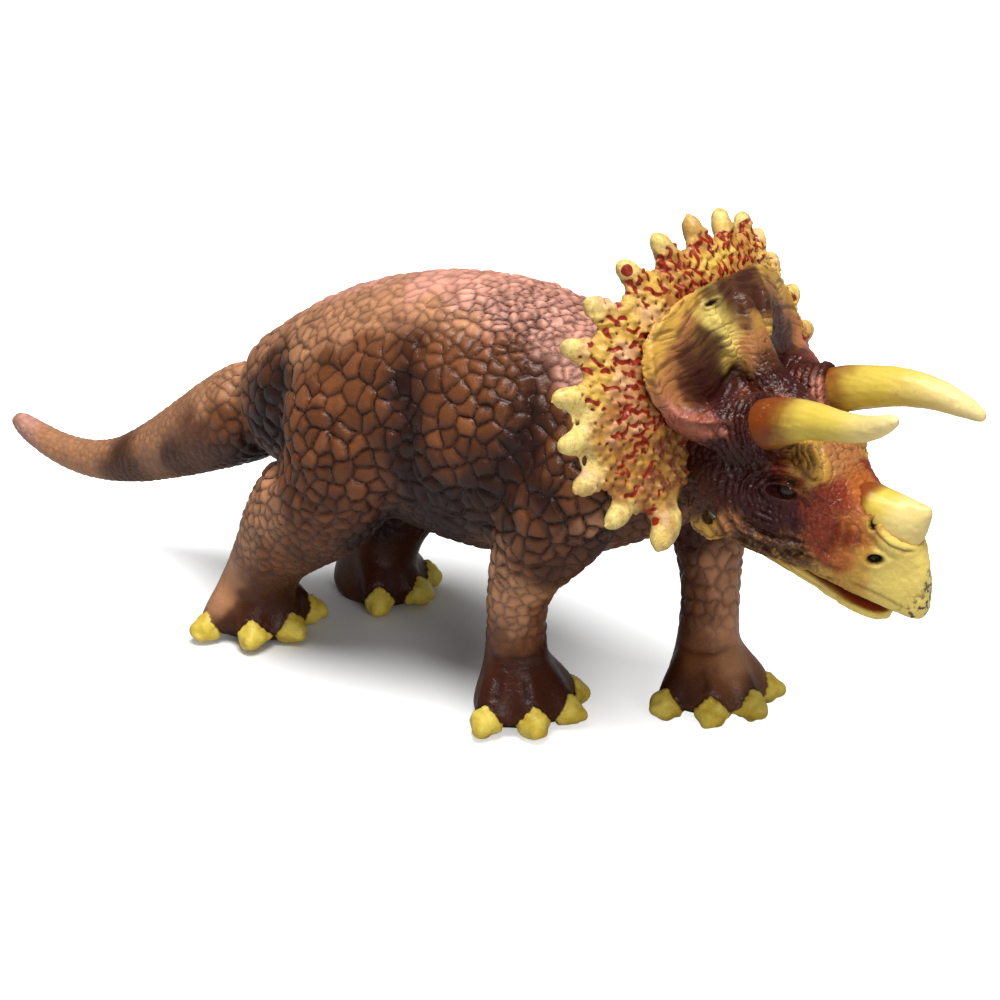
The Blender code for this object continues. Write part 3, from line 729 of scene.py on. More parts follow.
def painted(material_name, build, roughness, mottle, grain, coat=0.0):
    """A painted soft-plastic material. build(paint) gives its colour and its own height, or None."""
    material, tree, shader = new_material(material_name)
    paint = Paint(tree)
    base, own_height = build(paint)
    wear = paint.group(handling_wear(), Base=base, Mottle=mottle, Roughness=roughness, Spread=0.12)
    paint.links.new(wear.outputs["Colour"], shader.inputs["Base Color"])
    paint.links.new(wear.outputs["Roughness"], shader.inputs["Roughness"])
    height = wear.outputs["Height"]
    if own_height is not None:
        height = paint.math("ADD", paint.math("MULTIPLY", height, 0.4), own_height)
    paint.links.new(paint.bump(height, 0.6, grain), shader.inputs["Normal"])
    shader.inputs["Specular IOR Level"].default_value = 0.24
    shader.inputs["Coat Weight"].default_value = coat
    shader.inputs["Coat Roughness"].default_value = 0.25
    return material


# Settings

def colour_setting(label, text, value):
    return FloatVectorProperty(name=label, description=text, subtype="COLOR", size=3, min=0, max=1, default=value)


class HideSettings(bpy.types.PropertyGroup):
    scale_depth: FloatProperty(
        name="Scale depth", description="How far the scales stand out of the grooves", default=0.64 * MM,
        min=0, max=0.001, unit="LENGTH",
    )
    scale_size: FloatProperty(
        name="Scale size", description="Width of the largest scales, on the flank and haunch", default=3.7 * MM,
        min=0.0015, max=0.008, unit="LENGTH",
    )
    seed: IntProperty(name="Seed", description="Which pattern of scales is laid", default=7, min=0)
    hide: colour_setting("Hide", "Orange-brown of the flanks", (0.172, 0.056, 0.018))
    light: colour_setting("Light hide", "Tan of the shins and rear", (0.48, 0.225, 0.110))
    # Pink paint of the back, partly a painted highlight along its top.
    back: colour_setting("Back", "Pinkish tan of the back", (0.68, 0.315, 0.225))
    pale: colour_setting("Tail tip", "Pale pink of the tail tip", (0.42, 0.25, 0.19))
    # Painted shade: a darker copy of the hide, laid towards the folds, along the low flank and on the shaded sides of
    # the legs, partly also the figure's own darker paint.
    shaded_brown: colour_setting("Dusk", "Dark brown towards the folds", (0.085, 0.027, 0.010))
    # Painted shade, the darkest: in the folds, under the belly, at the tail root and inside the legs, over the figure's
    # own airbrushed dark paint.
    shade: colour_setting("Shade", "Dark purple-brown airbrushed in the folds", (0.020, 0.006, 0.005))
    foot: colour_setting("Feet", "Maroon-brown of the feet", (0.048, 0.010, 0.003))
    # A thin dark line in the grooves, and fainter painted shade on the scales' sides towards them.
    groove: colour_setting("Grooves", "Dark wash between the scales", (0.018, 0.005, 0.003))
    nail: colour_setting("Nails", "Lemon yellow of the nails", (0.80, 0.62, 0.10))


class HeadSettings(bpy.types.PropertyGroup):
    wrinkle_depth: FloatProperty(
        name="Wrinkle share", description="How deep the wrinkles of the face are", default=1.0, min=0, max=2,
        subtype="FACTOR",
    )
    maroon: colour_setting("Maroon", "Dark maroon round the eye and brow", (0.030, 0.004, 0.003))
    rust: colour_setting("Rust", "Red-brown of the cheek and snout", (0.20, 0.026, 0.008))
    orange: colour_setting("Orange", "Orange of the muzzle", (0.40, 0.11, 0.020))
    ochre: colour_setting("Ochre", "Ochre of the cheek folds and shield", (0.55, 0.31, 0.055))
    yellow: colour_setting("Yellow", "Yellow of the beak", (0.74, 0.56, 0.14))
    tan: colour_setting("Tan", "Tan of the shield's dish", (0.34, 0.135, 0.045))
    # Partly the pink paint round the horn collars, partly a painted highlight on the shield's lower rim.
    pink: colour_setting("Pink", "Worn pink on the ridges", (0.42, 0.15, 0.095))
    brown: colour_setting("Brown", "Dark brown of the shield's hollows", (0.060, 0.018, 0.008))


class FrillSettings(bpy.types.PropertyGroup):
    bump_height: FloatProperty(
        name="Bump height", description="Height of the small bumps on the frill", default=0.62 * MM,
        min=0, max=0.001, unit="LENGTH",
    )
    seed: IntProperty(name="Seed", description="Which pattern of bumps is laid", default=4, min=0)
    yellow: colour_setting("Yellow", "Ochre yellow of the frill", (0.62, 0.38, 0.062))
    pale: colour_setting("Pale", "Pale yellow of the rim and spikes", (0.76, 0.60, 0.20))
    blush: colour_setting("Blush", "Pinkish cream of the far side", (0.74, 0.44, 0.24))
    ochre: colour_setting("Ochre", "Orange-brown wash on the plate", (0.32, 0.125, 0.028))
    red: colour_setting("Red", "Red of the dashes", (0.24, 0.016, 0.005))
    brown: colour_setting("Brown", "Dark red-brown near the cheek", (0.13, 0.028, 0.013))


class HornSettings(bpy.types.PropertyGroup):
    tip: colour_setting("Tip", "Pale yellow of the horn tips", (0.76, 0.60, 0.26))
    middle: colour_setting("Middle", "Yellow-green of the middle of the horns", (0.62, 0.46, 0.07))
    root: colour_setting("Root", "Orange-brown of the horn roots", (0.19, 0.040, 0.006))


class StageSettings(bpy.types.PropertyGroup):
    key: FloatProperty(name="Key light", description="Power of the soft light above", default=6.7, min=0, unit="POWER")
    world: FloatProperty(name="Surroundings", description="Strength of the even light all round", default=0.20, min=0)


# The hide

HIDE_PAINTS = ("hide", "light", "back", "pale", "shaded_brown", "shade", "foot")

# Dabs of paint on trunk and tail, mirrored to the far side, as pixels of the near side.
TRUNK_DABS = [
    # The back dabs along the top are the back's pink paint, partly a painted highlight.
    ("back", [(400, 272), (450, 275), (500, 280), (540, 290), (575, 306), (470, 298), (520, 308), (555, 325)]),
    ("back", [(578, 340), (572, 365), (500, 318), (430, 284), (360, 283), (540, 340), (30, 415)]),
    ("light", [(430, 305), (385, 300), (335, 308), (300, 322), (268, 342), (240, 362), (460, 320), (340, 330)]),
    ("light", [(300, 350), (200, 392), (165, 410), (130, 425), (95, 440), (230, 385), (370, 318), (150, 437), (55, 430)]),
    ("hide", [(330, 365), (360, 345), (300, 385), (315, 420), (350, 395), (372, 370), (310, 450), (350, 440)]),
    ("hide", [(335, 480), (300, 480), (375, 410), (430, 345), (462, 345), (495, 350), (440, 400), (470, 385)]),
    ("hide", [(500, 385), (430, 435), (465, 425), (450, 460), (490, 420), (510, 350), (200, 430)]),
    ("hide", [(225, 415), (555, 400), (565, 440), (370, 480)]),
    # The dark brown dabs below and the darkest ones after them are painted shade in the folds, on the low flank and
    # belly and at the tail root, partly the figure's own airbrushed dark paint.
    ("shaded_brown", [(520, 385), (515, 415), (420, 455), (405, 345), (380, 430), (170, 458), (215, 450), (450, 470)]),
    ("shaded_brown", [(535, 365), (545, 425), (120, 468), (378, 500), (270, 365), (415, 380), (480, 455)]),
    ("shaded_brown", [(345, 470), (330, 500), (300, 470)]),
    ("shade", [(400, 375), (399, 400), (401, 440), (404, 480), (420, 505), (450, 515), (480, 522), (503, 500)]),
    ("shade", [(507, 470), (522, 440), (530, 405), (262, 395), (264, 430), (258, 455), (275, 375), (440, 530)]),
    ("shade", [(425, 485), (450, 492), (470, 482), (490, 490), (495, 465)]),
    ("shade", [(500, 530), (385, 520), (240, 460)]),
    ("pale", [(16, 408), (20, 422)]),
]

# Dabs of paint on the legs, each on the side that shows it.
LEG_DABS = [
    ("light", [(255, 510), (248, 540), (232, 580), (222, 600), (268, 500)]),
    ("hide", [(290, 515), (330, 520), (305, 545), (270, 560), (350, 505), (285, 490), (320, 490)]),
    # The dark brown and darkest dabs on the legs are painted shade on their shaded sides and inner faces, partly their
    # own dark paint.
    ("shaded_brown", [(310, 560), (290, 580), (255, 590)]),
    ("foot", [(250, 612), (280, 600), (300, 605), (225, 622), (265, 625), (305, 590)]),
    ("hide", [(545, 480), (570, 500), (530, 520), (560, 550), (520, 560), (500, 640), (530, 640), (545, 610)]),
    ("light", [(498, 540), (496, 580), (505, 610), (525, 600), (515, 625), (590, 530)]),
    ("shaded_brown", [(548, 580), (550, 640), (490, 660), (580, 555), (500, 505), (515, 480)]),
    ("foot", [(500, 680), (530, 690), (485, 700), (550, 690), (515, 710), (565, 685), (575, 670)]),
    ("foot", [(495, 665), (520, 668), (545, 665), (240, 600), (270, 605), (300, 590)]),
    ("shade", [(540, 490), (548, 500), (533, 478), (590, 545), (600, 535)]),
    ("shaded_brown", [(680, 565), (676, 590), (684, 620), (712, 690)]),
    ("light", [(722, 575), (728, 600), (726, 630), (735, 665)]),
    ("hide", [(705, 580), (706, 610), (708, 640), (700, 660), (725, 680)]),
    ("foot", [(680, 670), (672, 690), (690, 550), (750, 685)]),
    ("foot", [(400, 540), (380, 570), (415, 570), (395, 590), (425, 585), (375, 590)]),
    ("shade", [(360, 540), (385, 530), (405, 520)]),
    ("shaded_brown", [(350, 560), (345, 575)]),
]

# Folds of the trunk, mirrored, as (pixels, width, depth, wash).
TRUNK_FOLDS = [
    ([(400, 350), (398, 390), (397, 430), (399, 470), (406, 505)], 4.6, 1.3, 0.40),
    ([(390, 380), (388, 410), (389, 440), (393, 470)], 1.1, 0.40, 0.55),
    ([(402, 372), (400, 400), (400, 430), (402, 462), (408, 492)], 1.3, 0.60, 0.70),
    ([(413, 400), (412, 430), (415, 460)], 1.0, 0.35, 0.45),
    ([(530, 345), (535, 375), (533, 408), (524, 440), (511, 470), (503, 500)], 4.2, 1.2, 0.35),
    ([(528, 372), (530, 395), (525, 422), (515, 450)], 1.2, 0.45, 0.60),
    ([(543, 362), (545, 390), (541, 418)], 1.1, 0.40, 0.50),
    ([(556, 385), (556, 408), (552, 428)], 1.0, 0.30, 0.35),
    ([(282, 345), (276, 372), (275, 405), (278, 440)], 3.4, 0.9, 0.15),
    ([(332, 392), (331, 425), (328, 460), (322, 495)], 1.0, 0.4, 0.3),
    ([(398, 496), (420, 510), (445, 520), (475, 526), (500, 522)], 1.0, 0.6, 0.5),
    ([(410, 330), (420, 345), (416, 362)], 0.8, 0.5, 0.6),
    ([(352, 322), (380, 318), (410, 320), (440, 330)], 0.8, 0.35, 0.25),
    ([(446, 262), (452, 285), (449, 305)], 0.8, 0.3, 0.3),
    ([(500, 290), (507, 305), (503, 325)], 0.8, 0.4, 0.3),
    ([(530, 300), (536, 318), (532, 336)], 0.8, 0.4, 0.3),
    ([(555, 310), (560, 330), (556, 350)], 0.8, 0.4, 0.3),
]

# Folds of the legs, on the side that shows them.
LEG_FOLDS = [
    ([(286, 446), (276, 458), (266, 470), (258, 482)], 4.6, 2.4, 0.1),
    ([(556, 582), (560, 566), (572, 556), (588, 549)], 3.0, 1.6, 0.3),
    ([(285, 485), (300, 500), (318, 512), (338, 516)], 0.9, 0.5, 0.4),
    ([(296, 520), (320, 528), (348, 522), (372, 508)], 0.8, 0.5, 0.4),
    ([(300, 530), (325, 537), (352, 530)], 0.7, 0.45, 0.4),
    ([(306, 539), (328, 545), (346, 540)], 0.7, 0.4, 0.35),
    ([(246, 566), (262, 575), (282, 572)], 0.7, 0.35, 0.3),
    ([(556, 552), (545, 535), (533, 515), (520, 498)], 0.8, 0.5, 0.6),
    ([(575, 520), (560, 530), (545, 545)], 0.7, 0.4, 0.5),
    ([(490, 545), (508, 560), (528, 568), (548, 566)], 0.7, 0.4, 0.4),
    ([(489, 556), (507, 571), (527, 580), (549, 580)], 0.6, 0.35, 0.4),
    ([(489, 655), (505, 661), (525, 661), (546, 655)], 0.6, 0.4, 0.5),
    ([(490, 663), (507, 668), (528, 668), (546, 662)], 0.6, 0.3, 0.4),
    ([(678, 645), (695, 652), (715, 652), (735, 644)], 0.6, 0.35, 0.4),
    ([(500, 672), (497, 690), (493, 705)], 0.9, 0.4, 0.5),
    ([(526, 675), (528, 693), (527, 706)], 0.9, 0.4, 0.4),
    ([(700, 665), (705, 680), (703, 695)], 0.9, 0.4, 0.4),
]

HIND_TOES = (104, 50, 6, -44)
FORE_TOES = (82, 35, -10, -54, -100)
TOE_LENGTH = 13.5 * MM


def toes():
    """For each toe: the middle of its foot and its direction, from the soles in the record."""
    found = []
    for mount in frame["record"]["mounts"]:
        foot = np.array(mount["pos_m"], float)
        side = 1 if foot[1] > 0 else -1
        for angle in HIND_TOES if "hind" in mount["name"] else FORE_TOES:
            a = math.radians(angle)
            found.append((foot, np.array([math.cos(a), side * math.sin(a), 0])))
    return found


def toe_webs():
    """Tapered forms from each ankle down to its toes, which make the foot flare."""
    meshes = []
    for foot, out in toes():
        across = Vector((-out[1], out[0], 0))
        rings = []
        for reach, height, width, thick in (
            (-0.10, 17.0, 4.6, 2.5), (0.22, 12.5, 4.4, 3.2), (0.48, 8.0, 3.9, 3.2), (0.70, 5.2, 3.4, 2.9), (0.86, 3.8, 2.7, 2.4),
        ):
            middle = Vector(foot + out * reach * TOE_LENGTH) + Vector((0, 0, height * MM))
            slope = (Vector(out) * 0.75 + Vector((0, 0, 1))).normalized()
            rings.append((middle, across * width * MM, slope * thick * MM))
        meshes.append(loft(rings, 16))
    return meshes


def shape_nails(co):
    """Draws each nail out to a blunt point on the floor; returns how far each place is on a nail."""
    nail = np.zeros(len(co))
    ragged = (hash_noise(co, 1.3 * MM, 31) - 0.5) * 1.6 * MM
    for foot, out in toes():
        across = np.array([-out[1], out[0], 0])
        d = co - foot
        u = d @ out / TOE_LENGTH
        v = d @ across
        mine = (u > 0.55) & (np.abs(v) < 5 * MM) & (co[:, 2] < 9 * MM) & (u < 1.3)
        t = smooth_step(0.70, 1.06, u) * mine
        side = 1 - 0.42 * t
        co[:, :2] -= (across[:2] * (v * (1 - side))[:, None])
        co[:, 2] *= 1 - 0.28 * t
        co[:, :2] += out[:2] * (t * 0.7 * MM)[:, None]
        edge = u * TOE_LENGTH + ragged * 0.12 - 0.45 * np.abs(v) - 0.55 * np.maximum(co[:, 2] - 2.0 * MM, 0)
        nail = np.maximum(nail, smooth_step(8.2 * MM, 9.4 * MM, edge) * mine)
    return nail


class DINO_OT_hide(bpy.types.Operator):
    """Torso, tail and legs as one scaly hide, cut where the parts meet"""

    bl_idname = "dino.hide"
    bl_label = "Hide"

    def execute(self, context):
        settings = context.scene.dino_hide
        mesh = together(cad_copy("hide", *HIDE_NODES, swell=0.22 * MM), *toe_webs())
        mesh = closed_up(mesh, 1.0 * MM, 0.9 * MM)
        relaxed(mesh, 6)
        co = coords(mesh)
        rump = np.exp(-((co[:, 0] + 46 * MM) / (9 * MM)) ** 2) * smooth_step(26 * MM, 32 * MM, co[:, 2])
        relaxed(mesh, 60, rump)
        co = coords(mesh)
        co[:, 2] = np.maximum(co[:, 2], 0)
        nail = shape_nails(co)
        co[:, 2] = np.maximum(co[:, 2], 0)
        set_coords(mesh, co)
        keep(mesh, "nail", nail)
        surface = Surface(mesh)
        mesh = subdivided(mesh)
        co, n = coords(mesh), normals(mesh)
        x, y, z = (co / MM).T
        x = x + 1.658
        tail = smooth_step(-36, -52, x)
        feet = smooth_step(22, 13, z)
        shin = smooth_step(44, 30, z) * (1 - tail)
        top = smooth_step(0.35, 0.85, n[:, 2]) * smooth_step(56, 68, z)
        neck = smooth_step(0, 40, x) * top
        belly = smooth_step(-0.3, -0.8, n[:, 2]) * smooth_step(26, 30, z)
        spacing = (1 - 0.28 * top) * (1 - 0.30 * neck)
        spacing = np.minimum(spacing, 1 - 0.56 * tail)
        spacing = np.minimum(spacing, 1 - 0.34 * shin)
        spacing = np.minimum(spacing, 1 - 0.35 * belly)
        vary = 0.52 + 0.75 * hash_noise(co, 3.2 * MM, 5)
        seeds = scale_seeds(co[::2], (spacing * vary * settings.scale_size)[::2], settings.seed)
        warp = np.stack([hash_noise(co, 1.7 * MM, i) - 0.5 for i in (11, 12, 13)], 1) * 1.1 * MM
        edge, which = scale_edges(co + warp, seeds)
        rng = np.random.default_rng(settings.seed)
        tone = rng.random(len(seeds))[which]
        lift = (rng.random(len(seeds))[which] - 0.5) * 0.5
        tilt = rng.normal(size=(len(seeds), 3))[which]
        lean = ((co - seeds[which]) * tilt).sum(1) * 0.055
        dome = 1 - (1 - np.clip(edge / (1.7 * MM), 0, 1)) ** 2
        rim = 1 - np.exp(-((edge / (0.42 * MM)) ** 2))
        plate = 0.55 * dome + 0.45 * rim
        calm = hash_noise(co, 11 * MM, 6)
        strength = (1 - 0.66 * tail) * (1 - 0.93 * feet) * (1 - 0.35 * shin) * (1 - 0.30 * belly)
        strength = strength * (1 - 0.45 * top * (1 - neck)) * (0.75 + 0.5 * calm) * (1 - kept(mesh, "nail"))
        relief = ((plate * (1 + lift) - 1) * settings.scale_depth + lean) * strength
        crumple = (hash_noise(co, 1.5 * MM, 7) + hash_noise(co, 3.1 * MM, 8) - 1) * 0.5 * MM * neck
        rings = np.sin(x * 2 * math.pi / 2.3 + 2 * hash_noise(co, 5 * MM, 9)) * 0.06 * MM * tail
        trunk = smooth_step(20, 26, z)
        fold, wash_and_shade = sculpt(surface, co, TRUNK_FOLDS)
        leg_fold, leg_wash_and_shade = sculpt(surface, co, LEG_FOLDS, mirror=False)
        nail = kept(mesh, "nail")
        claw = (0.45 * smooth_step(0.4, 1, nail) - 0.5 * np.exp(-((nail - 0.3) / 0.22) ** 2)) * MM
        claw += nail * (hash_noise(co, 1.6 * MM, 33) - 0.5) * 0.9 * MM
        keep(mesh, "relief", relief + crumple + rings + fold * trunk + leg_fold + claw)
        keep(mesh, "grain", 1 - 0.4 * feet)
        keep(mesh, "edge", edge / MM)
        keep(mesh, "scaled", strength)
        keep(mesh, "tone", tone)
        # How dark the folds are painted: painted shade in the broad trunk folds, washed dark in the narrow ones.
        keep(mesh, "wash_and_shade", np.clip(np.maximum(wash_and_shade * trunk, leg_wash_and_shade), 0, 1))
        found = dabs(surface, TRUNK_DABS) + dabs(surface, LEG_DABS, mirrored=False)
        lay_paint(mesh, co, found, HIDE_PAINTS, soft=6.0, power=2.2)
        material = painted("hide paint", lambda paint: hide_colours(paint, settings), 0.36, 0.16, 0.0002)
        mesh = raised(mesh, material, Relief_share=1.0, Grain_height=0.07 * MM, Grain_size=0.55 * MM)
        co = coords(mesh)
        co[:, 2] = np.maximum(co[:, 2], 0)
        set_coords(mesh, co)
        whole = normals(mesh)
        part = face_parts(mesh, HIDE_NODES)
        for index, node in enumerate(HIDE_NODES):
            piece, n = cut_out(mesh, part, index, whole)
            finish_piece(node + "_hide", piece, "figure", [node], material)
            piece.normals_split_custom_set_from_vertices([tuple(v) for v in n])
        return {"FINISHED"}


def layered(paint, settings, names):
    """Each paint over those before it, by its stored share."""
    base = colour(getattr(settings, names[0]))
    for name in names[1:]:
        base = paint.mix(paint.attribute(name), base, colour(getattr(settings, name)))
    return base


def hide_colours(paint, s):
    base = layered(paint, s, HIDE_PAINTS)
    tone = paint.attribute("tone")
    scaled = paint.attribute("scaled")
    pick = paint.range(tone, 0.0, 1.0, 0.76, 1.26)
    light = paint.nodes.new("ShaderNodeVectorMath")
    light.operation = "SCALE"
    paint.links.new(base, light.inputs[0])
    paint.links.new(pick, light.inputs["Scale"])
    base = paint.mix(scaled, base, light.outputs[0])
    edge = paint.attribute("edge")
    # Near each groove the scale darkens: a thin washed-dark line in the groove (sharp), and a wider, fainter painted
    # shade over the scale's sloping sides (soft).
    fuzzy = paint.math("ADD", edge, paint.math("MULTIPLY", paint.math("SUBTRACT", paint.noise(0.0007), 0.5), 0.22))
    soft = paint.math("MULTIPLY", paint.range(fuzzy, 1.0, 0.1), 0.52)
    sharp = paint.math("MULTIPLY", paint.range(fuzzy, 0.36, 0.10), 0.82)
    deep = paint.math("MULTIPLY", paint.math("MAXIMUM", soft, sharp), scaled, clamp=True)
    base = paint.mix(deep, base, colour(s.groove))
    # Painted shade in the broad folds and a washed-dark line in the narrow ones, in the shade colour.
    base = paint.mix(paint.math("MULTIPLY", paint.attribute("wash_and_shade"), 0.85), base, colour(s.shade))
    mottled = paint.mix(paint.range(paint.noise(0.0035, 4.0), 0.42, 0.62), colour(s.nail), (0.66, 0.46, 0.05, 1))
    base = paint.mix(paint.range(paint.attribute("nail"), 0.35, 0.65), base, mottled)
    height = paint.math("MULTIPLY", paint.range(edge, 0.02, 0.34), paint.math("MULTIPLY", scaled, 0.9))
    wrinkles = paint.math("MULTIPLY", paint.range(paint.cells(0.0011), 0.0, 0.16), 0.22)
    return base, paint.math("ADD", height, wrinkles)


# The head

HEAD_PAINTS = ("maroon", "rust", "orange", "ochre", "yellow", "tan", "pink", "brown")

# Dabs of paint on the head, mirrored to the far side, as pixels of the near side.
HEAD_DABS = [
    ("ochre", [(681, 313), (668, 330), (694, 300), (731, 355), (760, 318), (822, 572), (659, 350), (656, 368)]),
    ("ochre", [(662, 340), (674, 322)]),
    ("ochre", [(805, 455), (813, 470), (808, 462), (869, 519), (863, 569), (846, 578), (728, 543), (752, 556)]),
    ("ochre", [(707, 528), (716, 541), (780, 563), (860, 556), (873, 538), (740, 557)]),
    ("brown", [(697, 498), (703, 505), (712, 492), (699, 515)]),
    ("yellow", [(893, 555), (893, 578), (916, 584), (905, 605)]),
    ("yellow", [(880, 580)]),
    ("yellow", [(925, 560), (885, 545)]),
    ("tan", [(663, 366), (676, 350), (684, 335), (752, 346), (662, 385), (680, 368), (728, 519), (766, 345)]),
    ("tan", [(668, 376), (680, 395), (690, 322), (745, 335), (834, 463)]),
    ("brown", [(690, 348), (686, 362), (684, 378)]),
    ("maroon", [(708, 395), (718, 400), (735, 390), (700, 385), (728, 405), (715, 370), (722, 395), (745, 395)]),
    ("maroon", [(705, 402), (730, 412), (712, 382), (737, 372), (700, 372)]),
    # Pink dabs on the shield's lower rim are painted highlight; those round the horn collars are pink paint.
    ("pink", [(672, 411), (688, 420), (706, 422), (822, 384), (812, 388), (722, 420)]),
    ("rust", [(705, 419), (716, 417), (686, 418), (822, 490), (805, 508), (819, 522), (781, 463), (799, 472)]),
    ("rust", [(834, 537), (849, 499), (840, 510), (828, 556), (812, 540), (838, 488), (850, 540), (745, 395)]),
    ("orange", [(869, 493), (860, 505), (852, 525), (863, 543), (852, 558), (838, 566), (856, 492)]),
    ("brown", [(705, 299), (728, 296), (746, 291), (740, 308), (705, 337), (705, 360), (696, 385), (769, 350)]),
    ("brown", [(790, 552), (805, 561), (768, 548), (745, 540), (710, 350), (736, 372), (770, 356), (705, 380)]),
    ("brown", [(688, 395), (700, 405), (740, 300), (752, 305), (756, 292), (748, 318), (694, 385), (710, 365)]),
    ("maroon", [(722, 413), (722, 381), (728, 366), (712, 392), (781, 366), (763, 372), (787, 380), (746, 380)]),
    ("maroon", [(805, 384), (746, 413), (746, 440), (758, 455), (716, 443), (728, 463), (722, 484), (752, 484)]),
    ("maroon", [(775, 513), (746, 507), (793, 528), (769, 531), (760, 500), (770, 474), (710, 455), (735, 430)]),
    ("maroon", [(735, 500), (757, 520), (715, 490), (795, 510), (790, 395), (770, 400)]),
]
# Pixel, half width, half height and depth in mm, and the sides: 1 is the one that the pixel is on.
HEAD_HOLES = [
    (873, 524, 0.65, 1.0, 1.2, (1, -1)),
    (875, 560, 1.35, 0.95, 1.3, (1, -1)),
    (712, 303, 0.45, 0.45, 0.7, (1,)),
]
# The shield isn't painted alike on both halves, so these dabs aren't mirrored.
SHIELD_DABS = [
    ("yellow", [(711, 308), (716, 318), (722, 330), (727, 341), (732, 352), (718, 312), (725, 336)]),
    ("brown", [(756, 300), (762, 318), (772, 340)]),
    ("tan", [(764, 330), (757, 312)]),
]


def ring(cx, cy, a, b, start, end, count=14):
    """Pixels along part of an ellipse; angles run clockwise from the right."""
    angles = [math.radians(start + (end - start) * i / count) for i in range(count + 1)]
    return [(cx + a * math.cos(t), cy + b * math.sin(t)) for t in angles]


# Folds of the face, mirrored, as (pixels, width, depth, wash).
HEAD_FOLDS = [
    (ring(780, 492, 22, 14, 95, 300), 0.42, 0.50, 0.6),
    (ring(778, 492, 28, 19, 80, 290), 0.45, 0.50, 0.6),
    (ring(777, 493, 34, 24, 75, 280), 0.45, 0.45, 0.5),
    (ring(776, 494, 40, 29, 75, 265), 0.48, 0.50, 0.5),
    (ring(775, 495, 46, 34, 75, 250), 0.48, 0.45, 0.4),
    (ring(774, 496, 52, 40, 80, 235), 0.50, 0.40, 0.4),
    (ring(779, 492, 25, 16.5, 90, 290), 0.5, -0.25, 0),
    (ring(777, 493, 37, 26.5, 80, 270), 0.5, -0.25, 0),
    ([(757, 474), (770, 467), (787, 467), (803, 474), (816, 484)], 1.3, -0.8, 0),
    ([(763, 482), (775, 477), (790, 478), (803, 485)], 0.5, 0.6, 0.8),
    ([(797, 495), (804, 500), (810, 508)], 0.45, 0.5, 0.8),
    ([(800, 489), (812, 494), (826, 505)], 0.5, 0.35, 0.5),
    ([(712, 508), (716, 524), (727, 540), (748, 552), (775, 560), (800, 566)], 0.55, 0.7, 0.8),
    ([(720, 503), (727, 520), (741, 535), (765, 546), (792, 553), (815, 558)], 0.55, 0.7, 0.8),
    ([(729, 503), (737, 517), (752, 529), (775, 538), (800, 543), (818, 545)], 0.5, 0.5, 0.6),
    ([(716, 505), (721, 522), (734, 538), (757, 549), (784, 557), (808, 562)], 0.5, -0.35, 0),
    ([(724, 503), (732, 518), (746, 532), (770, 542), (796, 548), (816, 551)], 0.5, -0.35, 0),
    ([(706, 512), (709, 528), (720, 545), (742, 558), (768, 566)], 0.5, 0.5, 0.6),
    ([(790, 560), (805, 570), (822, 578), (840, 581)], 0.5, 0.5, 0.6),
    ([(800, 553), (815, 562), (830, 568), (845, 570)], 0.45, 0.4, 0.5),
    ([(838, 515), (836, 532), (828, 548), (815, 560)], 0.7, 0.45, 0.4),
    ([(848, 520), (847, 537), (840, 552)], 0.55, 0.35, 0.3),
    ([(860, 528), (858, 543), (850, 556)], 0.5, 0.3, 0.3),
    ([(868, 508), (871, 520), (877, 534), (889, 546), (905, 552), (921, 551)], 0.5, 0.6, 0.7),
    ([(868, 534), (876, 546), (888, 556), (900, 560)], 0.5, 0.35, 0.3),
    ([(862, 500), (866, 508), (868, 516)], 0.45, 0.5, 0.5),
    ([(845, 580), (862, 588), (880, 596), (895, 604), (908, 611)], 0.35, 0.35, 0.5),
    ([(803, 442), (804, 454), (808, 466), (812, 476)], 1.5, -1.5, 0),
    ([(812, 442), (813, 455), (817, 468)], 1.1, -1.2, 0),
    ([(795, 446), (799, 458), (806, 470)], 0.7, -0.8, 0),
    ([(809, 440), (807, 452), (811, 464), (814, 478)], 0.40, 1.2, 1.0),
    ([(803, 443), (801, 453), (805, 463), (808, 474)], 0.36, 1.0, 1.0),
    ([(815, 441), (815, 453), (819, 466)], 0.38, 1.1, 1.0),
    ([(797, 447), (796, 456), (801, 468)], 0.34, 0.9, 1.0),
    ([(820, 444), (821, 456), (825, 468)], 0.34, 0.8, 0.9),
    ([(791, 451), (792, 459), (797, 469)], 0.32, 0.7, 0.9),
    ([(794, 462), (803, 471), (813, 480), (822, 478)], 0.40, 0.7, 0.8),
    ([(708, 306), (715, 320), (723, 337), (732, 354), (740, 368)], 1.6, -0.7, 0),
    ([(722, 388), (730, 377), (737, 366)], 0.8, 0.7, 0.6),
    ([(690, 425), (708, 428), (726, 428), (742, 424)], 0.9, 0.6, 0.5),
    ([(742, 424), (748, 436), (751, 450), (750, 462)], 0.7, 0.5, 0.5),
    ([(733, 428), (738, 442), (740, 458)], 0.6, 0.4, 0.4),
    ([(770, 452), (786, 456), (800, 456)], 0.6, 0.5, 0.6),
    ([(766, 460), (782, 462), (796, 463)], 0.5, 0.4, 0.5),
    ([(845, 470), (856, 480), (866, 490)], 0.8, 0.3, 0.2),
]


